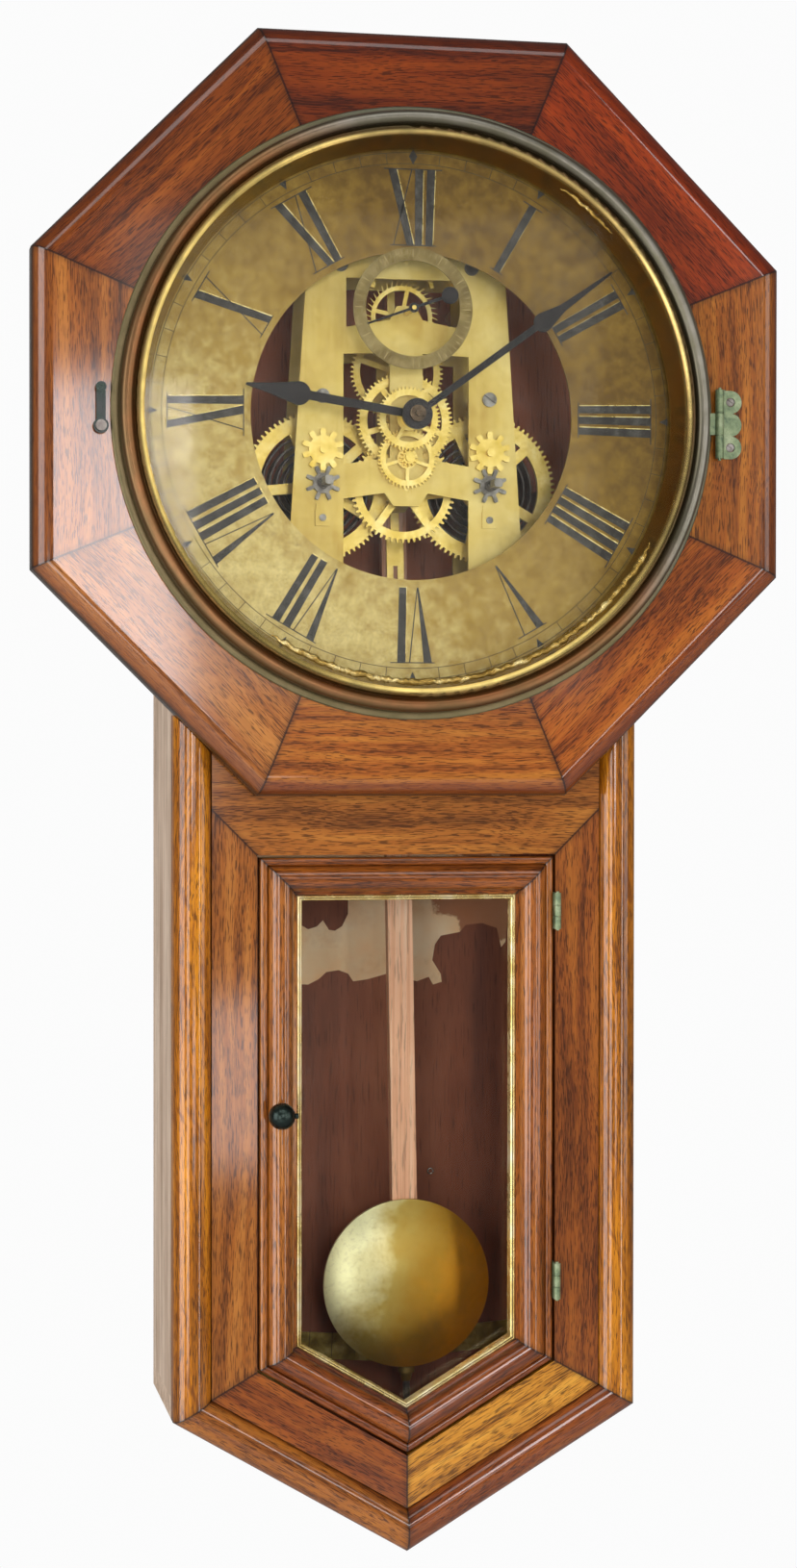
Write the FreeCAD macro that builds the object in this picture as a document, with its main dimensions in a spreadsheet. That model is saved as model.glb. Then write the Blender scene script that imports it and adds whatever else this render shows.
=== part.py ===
"""Drop-octagon pendulum wall clock, as a bench assembly of separate pieces.

Frame: +X right and +Z up as seen from the room, the wall is the plane Y = 0 and the clock
stands out from it towards -Y.  The origin is the centre of the hole in the wall hanger.
Every piece is drawn about the dial centre, which hangs `dial_drop` below that hole.
"Out" is a distance in front of the wall, so a point at out = 100 has Y = -100.
"""
import FreeCAD, Part
import math
import os

import Sketcher

os.makedirs("parts", exist_ok=True)
doc = FreeCAD.newDocument("drop_octagon_clock")
sheet = doc.addObject("Spreadsheet::Sheet", "sizes")
Vector = FreeCAD.Vector

# ------------------------------------------------------------------ driving dimensions
CASE_SIZES = dict(
    dial_drop=150.0,        # dial centre below the hanger hole
    trunk_half=127.0,       # half width of the trunk
    board=10.0,             # thickness of the box boards
    box_top=135.0,          # top of the box, above the dial centre
    box_out=88.0,           # front edges of the trunk's boards
    head_out=100.0,         # back of the octagon
    head_thick=22.0,
    head_apothem=203.0,     # half the octagon's width across its flats
    head_board=55.0,        # width of each octagon board
    head_round=11.0,        # rounded outer front edge
    ledge_width=10.0,       # ledge behind the octagon that carries the dial
    ledge_thick=10.8,
    toe_apex=613.0,         # lowest point of the case, below the dial centre
    toe_slope=0.5914,       # rise of the toe's two sides, per unit of width
    trim_gap=0.3,
    trunk_trim=20.5,        # half-round moulding along the trunk's edge
    trim_out=106.0,
    trim_round=9.4,
    flat_width=24.5,        # flat frame between moulding and door
    flat_top=172.0,         # upper edge of the flat top rail, hidden by the octagon
    door_gap=1.4,
    door_width=20.1,        # width of the door's moulding
    door_top=235.0,
    reed_width=4.5,
    reed_out=101.0,
    reed_round=1.9,
    door_back=88.5,
    door_lip=2.0,
    door_ridge_round=6.6,
    bead_width=3.0,
    bead_out=98.0,
    bead_round=1.3,
    glass_thick=2.0,
    door_glass_inset=62.0,
    door_glass_out=86.0,
    hanger_width=30.0,
    hanger_thick=2.0,
    hanger_hole=4.0,
    hanger_rise=12.0,       # metal above the hanger hole
    hanger_tail=38.0,       # metal below it
    label_thick=0.3,
    scale_half=78.0,
    scale_width=15.0,
    scale_level=528.0,
)
DIAL_SIZES = dict(
    dial_radius=147.0,
    dial_opening=87.5,
    dial_out=110.8,
    dial_thick=1.2,
    seconds_level=57.6,     # escape arbor and seconds ring, above the dial centre
    seconds_outer=32.5,
    seconds_inner=25.6,
    seconds_thick=0.8,
    bezel_radius=162.5,
    bezel_back=122.3,
    bezel_glass_radius=147.8,
    bezel_glass_out=131.5,
    sight_radius=141.6,
    sight_out=115.5,
    bezel_pin=166.5,
    bezel_pin_out=125.9,
    door_pin=82.3,
    door_pin_out=104.0,
    minute_reach=132.0,
    minute_bulb=85.0,
    minute_angle=53.7,      # clockwise from twelve, at rest
    hour_reach=92.0,
    hour_bulb=63.5,
    hour_angle=279.0,
    seconds_angle=250.0,
)
MOVEMENT_SIZES = dict(
    plate_thick=2.0,
    back_plate_out=52.0,
    front_plate_out=92.0,
    plate_top=90.0,
    plate_bottom=100.0,
    plate_top_half=54.0,
    plate_bottom_half=66.0,
    strap_inner=34.5,       # inner edges of the plates' side straps
    centre_strap=9.0,
    great_side=45.957,      # great wheel axes, left and right of the centre
    great_level=35.0,       # and below it
    second_level=37.0,
    third_level=29.0,
    post_level=21.0,        # minute wheel's post, below the centre
    star_level=17.0,
    arbor=1.8,
    pivot=1.2,
    running_gap=0.05,
    hanging_level=85.0,     # suspension of the pendulum, above the dial centre
    pendulum_out=42.0,
    rod_width=14.0,
    rod_thick=8.0,
    rod_top=48.0,
    bob_drop=562.0,         # centre of the bob below the suspension
    bob_radius=47.0,
    bob_half_depth=11.0,
    bob_forward=4.5,        # the bob's rim stands this far in front of the rod's middle
    rod_end=604.0,          # lower end of the wooden rod below the suspension
    thread_end=628.0,
    rest_swing=1.0,         # the stored pose: swung this much to the right, in degrees
)
row = 0
for sizes in (CASE_SIZES, DIAL_SIZES, MOVEMENT_SIZES):
    for alias, number in sizes.items():
        row += 1
        sheet.set(f"A{row}", alias)
        sheet.set(f"B{row}", str(number))
        sheet.setAlias(f"B{row}", alias)
doc.recompute()


class Size:
    """A dimension held both as a number and as an expression of the sheet's cells."""

    def __init__(self, value, text=None):
        self.value = float(value)
        self.text = text or repr(float(value))
        self.bound = text is not None

    def joined(self, sign, other, value):
        return Size(value, f"({self.text} {sign} {other.text})")

    def __add__(self, other):
        other = as_size(other)
        return self.joined("+", other, self.value + other.value)

    def __sub__(self, other):
        other = as_size(other)
        return self.joined("-", other, self.value - other.value)

    def __mul__(self, other):
        other = as_size(other)
        return self.joined("*", other, self.value * other.value)

    def __neg__(self):
        return self * -1

    def root(self):
        return Size(math.sqrt(self.value), f"sqrt({self.text})")


def as_size(number):
    return number if isinstance(number, Size) else Size(number)


class Cells:
    """Reads a cell of the sheet by its alias."""

    def __getattr__(self, alias):
        return Size(float(sheet.get(alias)), f"sizes.{alias}")


cell = Cells()
zero = Size(0)


def mm(alias):
    return getattr(cell, alias).value


# ------------------------------------------------------------------ PartDesign helpers
def new_body(label, turn=0.0):
    """A body drawn about the dial centre, turned about the dial's axis by `turn` degrees."""
    body = doc.addObject("PartDesign::Body", label)
    body.Label = label
    body.Placement = FreeCAD.Placement(
        Vector(0, 0, -mm("dial_drop")), FreeCAD.Rotation(Vector(0, 1, 0), turn)
    )
    body.setExpression("Placement.Base.z", "-sizes.dial_drop")
    return body


def front_sketch(body, out):
    """A sketch parallel to the wall, `out` in front of it."""
    sketch = body.newObject("Sketcher::SketchObject", "outline")
    planes = [plane for plane in body.Origin.OriginFeatures if plane.Role == "XZ_Plane"]
    sketch.AttachmentSupport = [(planes[0], "")]
    sketch.MapMode = "FlatFace"
    sketch.setExpression("AttachmentOffset.Base.z", as_size(out).text)
    return sketch


def pin_point(sketch, line, end, x, z):
    """Holds one point of the sketch at (x, z) from the dial centre."""
    for kind, size in (("DistanceX", as_size(x)), ("DistanceY", as_size(z))):
        index = sketch.addConstraint(Sketcher.Constraint(kind, -1, 1, line, end, size.value))
        if size.bound:
            sketch.setExpression(f"Constraints[{index}]", size.text)


def draw_polygon(sketch, points):
    first = sketch.GeometryCount
    corners = [Vector(as_size(x).value, as_size(z).value, 0) for x, z in points]
    count = len(points)
    for k in range(count):
        sketch.addGeometry(Part.LineSegment(corners[k], corners[(k + 1) % count]), False)
    for k in range(count):
        after = first + (k + 1) % count
        sketch.addConstraint(Sketcher.Constraint("Coincident", first + k, 2, after, 1))
    for k, (x, z) in enumerate(points):
        pin_point(sketch, first + k, 1, x, z)


def draw_circle(sketch, x, z, radius):
    x, z, radius = as_size(x), as_size(z), as_size(radius)
    circle = Part.Circle(Vector(x.value, z.value, 0), Vector(0, 0, 1), radius.value)
    line = sketch.addGeometry(circle, False)
    pin_point(sketch, line, 3, x, z)
    index = sketch.addConstraint(Sketcher.Constraint("Radius", line, radius.value))
    if radius.bound:
        sketch.setExpression(f"Constraints[{index}]", radius.text)


def pad(body, sketch, length):
    feature = body.newObject("PartDesign::Pad", "board")
    feature.Profile = sketch
    feature.setExpression("Length", as_size(length).text)
    body.Tip = feature
    return feature


def polygon_board(label, points, out, thick):
    """One flat board with straight edges, parallel to the wall."""
    body = new_body(label)
    sketch = front_sketch(body, out)
    draw_polygon(sketch, points)
    pad(body, sketch, thick)
    return body


def edge_between(shape, start, end):
    """Name of the straight edge whose middle lies half way between two points."""
    middle = (start + end) * 0.5
    for number, edge in enumerate(shape.Edges, 1):
        if (edge.CenterOfMass - middle).Length < 0.01:
            return f"Edge{number}"
    raise ValueError("no edge between those points")


def moulding(label, start, end, steps, turn=0.0):
    """A mitred length of moulding.

    start and end give the two mitre lines: each is a function from the inset, the distance
    in from the frame's outer edge, to (x, z).  Each step is one strip of the profile:
    (inset_a, inset_b, out_a, out_b, round_a, round_b), rounded along its front edges.
    """
    body = new_body(label, turn)
    for inset_a, inset_b, out_a, out_b, round_a, round_b in steps:
        sketch = front_sketch(body, out_a)
        draw_polygon(sketch, [start(inset_a), end(inset_a), end(inset_b), start(inset_b)])
        strip = pad(body, sketch, as_size(out_b) - out_a)
        for inset, radius in ((inset_a, round_a), (inset_b, round_b)):
            if radius is None:
                continue
            doc.recompute()
            ends = []
            for x, z in (start(inset), end(inset)):
                ends.append(Vector(as_size(x).value, -as_size(out_b).value, as_size(z).value))
            fillet = body.newObject("PartDesign::Fillet", "rounding")
            fillet.Base = (strip, [edge_between(strip.Shape, *ends)])
            fillet.setExpression("Radius", radius.text)
            body.Tip = fillet
            strip = fillet
    return body


def group(label, pieces):
    """Several separate solids that share one node."""
    compound = doc.addObject("Part::Compound", label)
    compound.Label = label
    compound.Links = pieces
    return compound


# ------------------------------------------------------------------ Part helpers
def place(label, shape):
    """A piece drawn with Part's own functions, about the dial centre."""
    feature = doc.addObject("Part::Feature", label)
    feature.Label = label
    feature.Shape = shape
    hung = FreeCAD.Placement(Vector(0, 0, -mm("dial_drop")), FreeCAD.Rotation())
    feature.Placement = hung.multiply(feature.Placement)
    return feature


def rod(x, z, radius, out_a, out_b):
    """A round bar standing out from the wall."""
    return Part.makeCylinder(radius, out_b - out_a, Vector(x, -out_a, z), Vector(0, -1, 0))


def tube(x, z, outer, inner, out_a, out_b):
    return rod(x, z, outer, out_a, out_b).cut(rod(x, z, inner, out_a - 1, out_b + 1))


def block(x_a, x_b, z_a, z_b, out_a, out_b):
    return Part.makeBox(x_b - x_a, out_b - out_a, z_b - z_a, Vector(x_a, -out_b, z_a))


def flat(points, out_a, out_b):
    """A flat plate with straight edges between two distances from the wall."""
    loop = [Vector(x, -out_a, z) for x, z in points]
    face = Part.Face(Part.makePolygon(loop + loop[:1]))
    return face.extrude(Vector(0, out_a - out_b, 0))


def fuse(first, *others):
    return first.fuse(list(others)).removeSplitter()


def about_y(shape, x, z, degrees):
    """The shape turned clockwise, as seen from the room, about an axis through (x, z)."""
    turned = shape.copy()
    turned.rotate(Vector(x, 0, z), Vector(0, 1, 0), degrees)
    return turned


# Tooth shapes: share of the pitch at tip, pitch circle and root, then addendum and
# dedendum in modules.  Both are thinner than half a pitch, which gives the train its play.
WHEEL_TOOTH = (0.20, 0.42, 0.50, 0.90, 1.20)
LEAF_TOOTH = (0.18, 0.30, 0.34, 0.80, 1.20)


def toothed(x, z, module, teeth, tooth, out_a, out_b, phase=0.0):
    """A solid gear; phase is the angle of one tooth, in radians from +X towards +Z."""
    tip, middle, root, addendum, dedendum = tooth
    pitch_radius = module * teeth / 2
    half_pitch = math.pi / teeth
    flank = (
        (pitch_radius - dedendum * module, root),
        (pitch_radius, middle),
        (pitch_radius + addendum * module, tip),
    )
    points = []
    for k in range(teeth):
        centre = phase + 2 * half_pitch * k
        for radius, share in flank:
            points.append((radius, centre - share * half_pitch))
        for radius, share in reversed(flank):
            points.append((radius, centre + share * half_pitch))
    outline = [(x + r * math.cos(a), z + r * math.sin(a)) for r, a in points]
    return flat(outline, out_a, out_b)


def mesh_phase(driver, driven):
    """Tooth angle of the driven gear that puts one of its gaps on the driver's tooth.

    Each gear is (x, z, teeth, phase); the driven gear's phase isn't read.
    """
    x_a, z_a, teeth_a, phase_a = driver
    x_b, z_b, teeth_b = driven[:3]
    line = math.atan2(z_b - z_a, x_b - x_a)
    pitch_a = 2 * math.pi / teeth_a
    pitch_b = 2 * math.pi / teeth_b
    return line + math.pi - pitch_b * (0.5 - (line - phase_a) / pitch_a)


def spoked(wheel, x, z, hub, rim, spokes, spoke_width, out_a, out_b, turn=0.0):
    """The wheel with windows cut between its spokes."""
    window = tube(x, z, rim, hub, out_a - 1, out_b + 1)
    bars = []
    for k in range(spokes):
        bar = block(x, x + rim + 1, z - spoke_width / 2, z + spoke_width / 2, out_a - 2, out_b + 2)
        bars.append(about_y(bar, x, z, turn + 360 * k / spokes))
    return wheel.cut(window.cut(bars))


# ------------------------------------------------------------------ the wooden case
stretch = (cell.toe_slope * cell.toe_slope + 1).root()
DIAGONAL = math.sqrt(2)     # |x| + |z| on the octagon's sloping edges, per unit of apothem


def toe_point(inset):
    """Lowest point of the trunk outline that lies `inset` inside the case's edge."""
    return zero, as_size(inset) * stretch - cell.toe_apex


def corner(side):
    """Where the trunk's side meets its sloping toe, as a function of the inset."""
    def point(inset):
        x = cell.trunk_half - inset
        return x * side, toe_point(inset)[1] + x * cell.toe_slope
    return point


def under_octagon(side):
    """Upper end of a strip along the trunk's side, where it butts the octagon's sloping edge."""
    def point(inset):
        x = cell.trunk_half - inset
        return x * side, x - cell.head_apothem * DIAGONAL - cell.trim_gap
    return point


def upper_mitre(side, level, inset_there):
    """45 degree mitre between a side strip and a rail whose lower edge is at `level`."""
    return lambda inset: (
        (cell.trunk_half - inset) * side,
        as_size(inset_there) - inset - level,
    )


flat_inset = cell.trunk_trim
door_opening = flat_inset + cell.flat_width
door_inset = door_opening + cell.door_gap
bead_inset = door_inset + cell.door_width


def make_backboard():
    """Backboard inside the sides, with a shallow recess for the hanger's tail."""
    edge = cell.board
    body = new_body("backboard")
    sketch = front_sketch(body, zero)
    right, left = corner(1)(edge), corner(-1)(edge)
    top = cell.box_top
    draw_polygon(sketch, [(left[0], top), (right[0], top), right, toe_point(edge), left])
    pad(body, sketch, cell.board)
    doc.recompute()
    recess = front_sketch(body, zero)
    half = cell.hanger_width * 0.5
    low = cell.dial_drop - cell.hanger_tail
    draw_polygon(recess, [(-half, low), (half, low), (half, top + 1), (-half, top + 1)])
    pocket = body.newObject("PartDesign::Pocket", "recess")
    pocket.Profile = recess
    pocket.Reversed = True
    pocket.setExpression("Length", cell.hanger_thick.text)
    body.Tip = pocket
    return body


def make_side(label, side):
    """Side board, deeper behind the octagon than behind the trunk's trim."""
    body = new_body(label)
    inner = cell.board
    edge_x, inner_x = cell.trunk_half * side, (cell.trunk_half - inner) * side
    low_edge = corner(side)(zero)[1] + cell.board * stretch
    low_inner = corner(side)(inner)[1]
    sketch = front_sketch(body, zero)
    top = cell.box_top
    draw_polygon(sketch, [(edge_x, top), (inner_x, top), (inner_x, low_inner), (edge_x, low_edge)])
    pad(body, sketch, cell.box_out)
    head = front_sketch(body, cell.box_out)
    low = under_octagon(side)
    lift = cell.trim_gap * 2
    low_points = [(x, z + lift) for x, z in (low(inner), low(zero))]
    draw_polygon(head, [(edge_x, top), (inner_x, top)] + low_points)
    pad(body, head, cell.head_out - cell.box_out)
    return body


def make_floor(label, side):
    """One of the two sloping boards that close the trunk's pointed toe."""
    rise = cell.board * stretch
    edge = corner(side)(zero)
    tip = toe_point(zero)
    points = [tip, edge, (edge[0], edge[1] + rise), (zero, tip[1] + rise)]
    return polygon_board(label, points, zero, cell.box_out)


def make_top():
    half = cell.trunk_half - cell.board
    low = cell.box_top - cell.board
    top = cell.box_top
    body = new_body("top_board")
    sketch = front_sketch(body, cell.board)
    draw_polygon(sketch, [(-half, low), (half, low), (half, top), (-half, top)])
    pad(body, sketch, cell.head_out - cell.board)
    return body


def make_octagon():
    """Eight mitred boards; each has a ledge behind it for the dial's rim."""
    tangent = math.tan(math.pi / 8)
    names = ("top", "top_right", "right", "low_right", "bottom", "low_left", "left", "top_left")
    inner = cell.head_board + cell.ledge_width
    steps = [
        (zero, cell.head_board, cell.head_out, cell.head_out + cell.head_thick,
         cell.head_round, None),
        (cell.head_board, inner, cell.head_out, cell.head_out + cell.ledge_thick, None, None),
    ]
    boards = []
    for k, name in enumerate(names):
        start = lambda inset: ((cell.head_apothem - inset) * -tangent, cell.head_apothem - inset)
        end = lambda inset: ((cell.head_apothem - inset) * tangent, cell.head_apothem - inset)
        boards.append(moulding(f"octagon_board_{name}", start, end, steps, turn=45.0 * k))
    return boards


def make_trunk_trim():
    """Half-round moulding round the trunk: two sides and two sloping toe pieces."""
    steps = [(zero, cell.trunk_trim, cell.box_out, cell.trim_out, cell.trim_round, cell.trim_round)]
    pieces = []
    for name, side in (("left", -1), ("right", 1)):
        upper = under_octagon(side)
        pieces.append(moulding(f"trunk_moulding_{name}", upper, corner(side), steps))
        pieces.append(moulding(f"toe_moulding_{name}", corner(side), toe_point, steps))
    return pieces


def make_flat_frame():
    """Flat boards between the half-round and the door: a rail, two stiles and two toes."""
    steps = [(flat_inset, door_opening, cell.box_out, cell.head_out, None, None)]
    half_in = cell.trunk_half - door_opening
    half_out = cell.trunk_half - flat_inset
    shoulder = cell.flat_width - cell.door_top
    rail = polygon_board("flat_top_rail", [
        (-half_out, -cell.flat_top), (half_out, -cell.flat_top), (half_out, shoulder),
        (half_in, -cell.door_top), (-half_in, -cell.door_top), (-half_out, shoulder),
    ], cell.box_out, cell.head_out - cell.box_out)
    pieces = [rail]
    for name, side in (("left", -1), ("right", 1)):
        mitre = upper_mitre(side, cell.door_top, door_opening)
        pieces.append(moulding(f"flat_stile_{name}", mitre, corner(side), steps))
        pieces.append(moulding(f"flat_toe_{name}", corner(side), toe_point, steps))
    return group("flat_frame", pieces)


def framed(label, steps, outer_inset):
    """Five mitred pieces round the door: head, two stiles and two toes."""
    top = cell.door_top + cell.door_gap
    level = top - outer_inset
    head_left = lambda inset: ((cell.trunk_half - inset) * -1, -level - inset)
    head_right = lambda inset: (cell.trunk_half - inset, -level - inset)
    pieces = [moulding(f"{label}_head", head_left, head_right, steps)]
    for name, side, head in (("left", -1, head_left), ("right", 1, head_right)):
        pieces.append(moulding(f"{label}_stile_{name}", head, corner(side), steps))
        pieces.append(moulding(f"{label}_toe_{name}", corner(side), toe_point, steps))
    return group(label, pieces)


def make_door():
    """Door frame with a thin outer reed, a broad half-round and a thin inner lip."""
    reed = door_inset + cell.reed_width
    lip = bead_inset - cell.door_lip
    steps = [
        (door_inset, reed, cell.door_back, cell.reed_out, cell.reed_round, cell.reed_round),
        (reed, lip, cell.door_back, cell.trim_out, cell.door_ridge_round, cell.door_ridge_round),
        (lip, bead_inset, cell.door_back, cell.bead_out, None, None),
    ]
    frame = framed("door_frame", steps, door_inset)
    bead_end = bead_inset + cell.bead_width
    bead_back = cell.door_back + 2
    bead = framed("door_bead", [
        (bead_inset, bead_end, bead_back, cell.bead_out, cell.bead_round, cell.bead_round),
    ], door_inset)
    inset = cell.door_glass_inset
    level = -cell.door_top - cell.door_gap + door_inset - inset
    right, left = corner(1)(inset), corner(-1)(inset)
    sheet_points = [(left[0], level), (right[0], level), right, toe_point(inset), left]
    glass = polygon_board("door_glass", sheet_points, cell.door_glass_out, cell.glass_thick)
    return [frame, bead, glass]


def make_wall_hanger():
    """Steel strap let into the backboard, with the round hole the wall screw goes through."""
    body = new_body("wall_hanger")
    half = cell.hanger_width * 0.5
    top = cell.dial_drop + cell.hanger_rise
    low = cell.dial_drop - cell.hanger_tail
    sketch = front_sketch(body, zero)
    draw_polygon(sketch, [(-half, low), (half, low), (half, top), (-half, top)])
    draw_circle(sketch, zero, cell.dial_drop, cell.hanger_hole)
    pad(body, sketch, cell.hanger_thick)
    return body


def make_paper_label():
    """Remains of a torn paper sheet glued to the backboard, below the movement."""
    hidden_top = [(-72, -160), (79, -160)]
    right_edge = [(77, -270), (75, -289), (72.5, -292), (70, -281), (61, -278), (51.5, -279), (48, -283)]
    bitten_corner = [(37, -285), (33.5, -290), (32, -299), (37, -307), (37.5, -311.5)]
    lower_edge = [
        (32.5, -313), (30, -308.5), (23, -311), (7, -306), (-6, -309.5), (-14, -310.5), (-17, -306),
        (-22.5, -304), (-29.5, -305), (-34, -309), (-40, -312), (-58, -311), (-72, -314),
    ]
    torn_bay = [
        (-72, -276), (-45, -277.5), (-40, -280.5), (-35, -279), (-31.5, -275.5), (-28, -281),
        (-24.5, -281.5), (-20.5, -279), (-17, -272), (-17, -258), (-23, -247), (-38, -243), (-72, -246),
    ]
    outline = hidden_top + right_edge + bitten_corner + lower_edge + torn_bay
    return polygon_board("paper_label", outline, cell.board, cell.label_thick)


def make_beat_scale():
    """Narrow gilt strip behind the bob that shows whether the clock hangs upright."""
    low = -cell.scale_level
    points = [
        (-cell.scale_half, low + 6), (zero, low), (cell.scale_half, low + 6),
        (cell.scale_half, low + cell.scale_width + 6), (zero, low + cell.scale_width),
        (-cell.scale_half, low + cell.scale_width + 6),
    ]
    return polygon_board("beat_scale", points, cell.board, Size(1.0))


# ------------------------------------------------------------------ dial and bezel
def make_dial():
    body = new_body("dial_plate")
    sketch = front_sketch(body, cell.dial_out)
    draw_circle(sketch, zero, zero, cell.dial_radius)
    draw_circle(sketch, zero, zero, cell.dial_opening)
    pad(body, sketch, cell.dial_thick)
    ring = new_body("seconds_ring")
    sketch = front_sketch(ring, cell.dial_out + cell.dial_thick)
    draw_circle(sketch, zero, cell.seconds_level, cell.seconds_outer)
    draw_circle(sketch, zero, cell.seconds_level, cell.seconds_inner)
    pad(ring, sketch, cell.seconds_thick)
    return [body, ring]


def make_bezel():
    """Turned brass ring: flat flange, round bead, step, glass rebate and sight ring."""
    flange, back = mm("bezel_radius"), mm("bezel_back")
    glass, glass_out = mm("bezel_glass_radius") + 0.2, mm("bezel_glass_out")
    sight, sight_out = mm("sight_radius"), mm("sight_out")
    front = glass_out + mm("glass_thick") + 0.1

    def spot(radius, out):
        return Vector(radius, -out, 0)

    bead = Part.Arc(spot(158.5, 134.2), spot(155.0, 137.7), spot(151.5, 134.2))
    step = Part.Arc(spot(150.8, 134.5), spot(149.6, 135.7), spot(148.4, 135.4))
    corners = [
        spot(146.0, front + 0.8), spot(146.0, front), spot(glass, front),
        spot(glass, glass_out - 0.1), spot(glass - 1.6, glass_out - 0.5),
        spot(sight, sight_out), spot(sight + 0.9, sight_out), spot(glass + 0.4, 126.0),
        spot(glass + 1.6, back), spot(flange, back), spot(flange, back + 2.0),
        spot(flange - 0.5, back + 2.4), spot(158.7, back + 2.4), spot(158.5, 134.2),
    ]
    edges = [bead.toShape(), Part.makeLine(spot(151.5, 134.2), spot(150.8, 134.5)), step.toShape()]
    edges.append(Part.makeLine(spot(148.4, 135.4), corners[0]))
    for start, end in zip(corners, corners[1:]):
        edges.append(Part.makeLine(start, end))
    profile = Part.Face(Part.Wire(Part.__sortEdges__(edges)))
    ring = profile.revolve(Vector(0, 0, 0), Vector(0, 1, 0), 360)
    pane = rod(0, 0, mm("bezel_glass_radius"), glass_out, glass_out + mm("glass_thick"))
    return [place("bezel_ring", ring), place("bezel_glass", pane)]


def upright_rod(x, out, radius, z_a, z_b):
    """A round bar along Z."""
    return Part.makeCylinder(radius, z_b - z_a, Vector(x, -out, z_a), Vector(0, 0, 1))


PIN_RADIUS = 0.9
KNUCKLE_RADIUS = 1.85
HINGE_LENGTH = 19.5
DOOR_HINGE_LEVELS = (-266.0, -468.0)
BEZEL_HINGE_LENGTH = 37.0
BEZEL_HINGE_LEVEL = -2.0
BEZEL_KNUCKLE = 2.3
KNUCKLE_GAP = 0.35


def knuckle_tube(x, out, radius, z_a, z_b):
    bore = PIN_RADIUS + mm("running_gap")
    solid = upright_rod(x, out, radius, z_a, z_b)
    return solid.cut(upright_rod(x, out, bore, z_a - 1, z_b + 1))


def make_hinges():
    """Butt hinges: outer thirds and pin on the fixed leaves, middle third on the doors."""
    fixed, door_leaves = [], []
    pin_x, pin_out = mm("door_pin"), mm("door_pin_out")
    frame_edge = mm("trunk_half") - mm("trunk_trim") - mm("flat_width")
    door_edge = frame_edge - mm("door_gap")
    third = HINGE_LENGTH / 6
    for level in DOOR_HINGE_LEVELS:
        low, high = level - HINGE_LENGTH / 2, level + HINGE_LENGTH / 2
        leaf = block(frame_edge - 0.5, frame_edge, low, high, mm("door_back") + 1, pin_out - 2.1)
        parts = [upright_rod(pin_x, pin_out, PIN_RADIUS, low - 0.8, high + 0.8)]
        for z_a, z_b in ((low, level - third), (level + third, high)):
            parts.append(upright_rod(pin_x, pin_out, KNUCKLE_RADIUS, z_a, z_b))
            parts.append(block(frame_edge - 0.5, frame_edge, z_a, z_b, pin_out - 2.2, pin_out))
        fixed.append(fuse(leaf, *parts))
        z_a, z_b = level - third + KNUCKLE_GAP, level + third - KNUCKLE_GAP
        leaf = block(door_edge, door_edge + 0.5, low, high, mm("door_back") + 1, pin_out - 2.8)
        tab = flat([
            (door_edge, z_a), (door_edge + 0.5, z_a), (door_edge + 0.5, z_b), (door_edge, z_b),
        ], pin_out - 2.9, pin_out + 0.6)
        tab = tab.cut(upright_rod(pin_x, pin_out, PIN_RADIUS + 0.3, z_a - 1, z_b + 1))
        knuckle = knuckle_tube(pin_x, pin_out, KNUCKLE_RADIUS, z_a, z_b)
        door_leaves.append(fuse(leaf, tab, knuckle))

    pin_x, pin_out = mm("bezel_pin"), mm("bezel_pin_out")
    face = mm("head_out") + mm("head_thick")
    low, high = (BEZEL_HINGE_LEVEL + s * BEZEL_HINGE_LENGTH / 2 for s in (-1, 1))
    third = BEZEL_HINGE_LENGTH / 6
    leaf_x = pin_x + 2.6
    scallops = []
    for k in range(3):
        centre = low + third * (2 * k + 1)
        scallops.append(rod(leaf_x + 4.5, centre, third, face, face + 1.2))
    plate = block(leaf_x - 0.6, leaf_x + 4.5, low, high, face, face + 1.2)
    holes = []
    for s in (-1, 1):
        holes.append(rod(leaf_x + 4.4, BEZEL_HINGE_LEVEL + s * 2 * third, 2.5, face - 1, face + 2))
    leaf = fuse(plate, *scallops).cut(holes)
    parts = [upright_rod(pin_x, pin_out, PIN_RADIUS, low - 1.2, high + 1.2)]
    for z_a, z_b in ((low, BEZEL_HINGE_LEVEL - third), (BEZEL_HINGE_LEVEL + third, high)):
        parts.append(upright_rod(pin_x, pin_out, BEZEL_KNUCKLE, z_a, z_b))
        parts.append(block(pin_x + 1.2, leaf_x + 0.4, z_a, z_b, face, pin_out))
    fixed.append(fuse(leaf, *parts))
    z_a = BEZEL_HINGE_LEVEL - third + KNUCKLE_GAP
    z_b = BEZEL_HINGE_LEVEL + third - KNUCKLE_GAP
    flange_top = mm("bezel_back") + 2.4
    tab = block(mm("bezel_radius") - 3.1, pin_x - 1.3, z_a, z_b, flange_top, flange_top + 1.0)
    bezel_leaf = fuse(tab, knuckle_tube(pin_x, pin_out, BEZEL_KNUCKLE, z_a, z_b))
    return [
        place("fixed_hinge_leaves", Part.makeCompound(fixed)),
        place("door_hinge_leaves", Part.makeCompound(door_leaves)),
        place("bezel_hinge_leaf", bezel_leaf),
    ]


CATCH_X = -167.6
CATCH_LEVEL = -10.0
CATCH_ARM = 20.0
KNOB_X = -71.0
KNOB_LEVEL = -373.0
KNOB_SHAFT = 2.0


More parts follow.
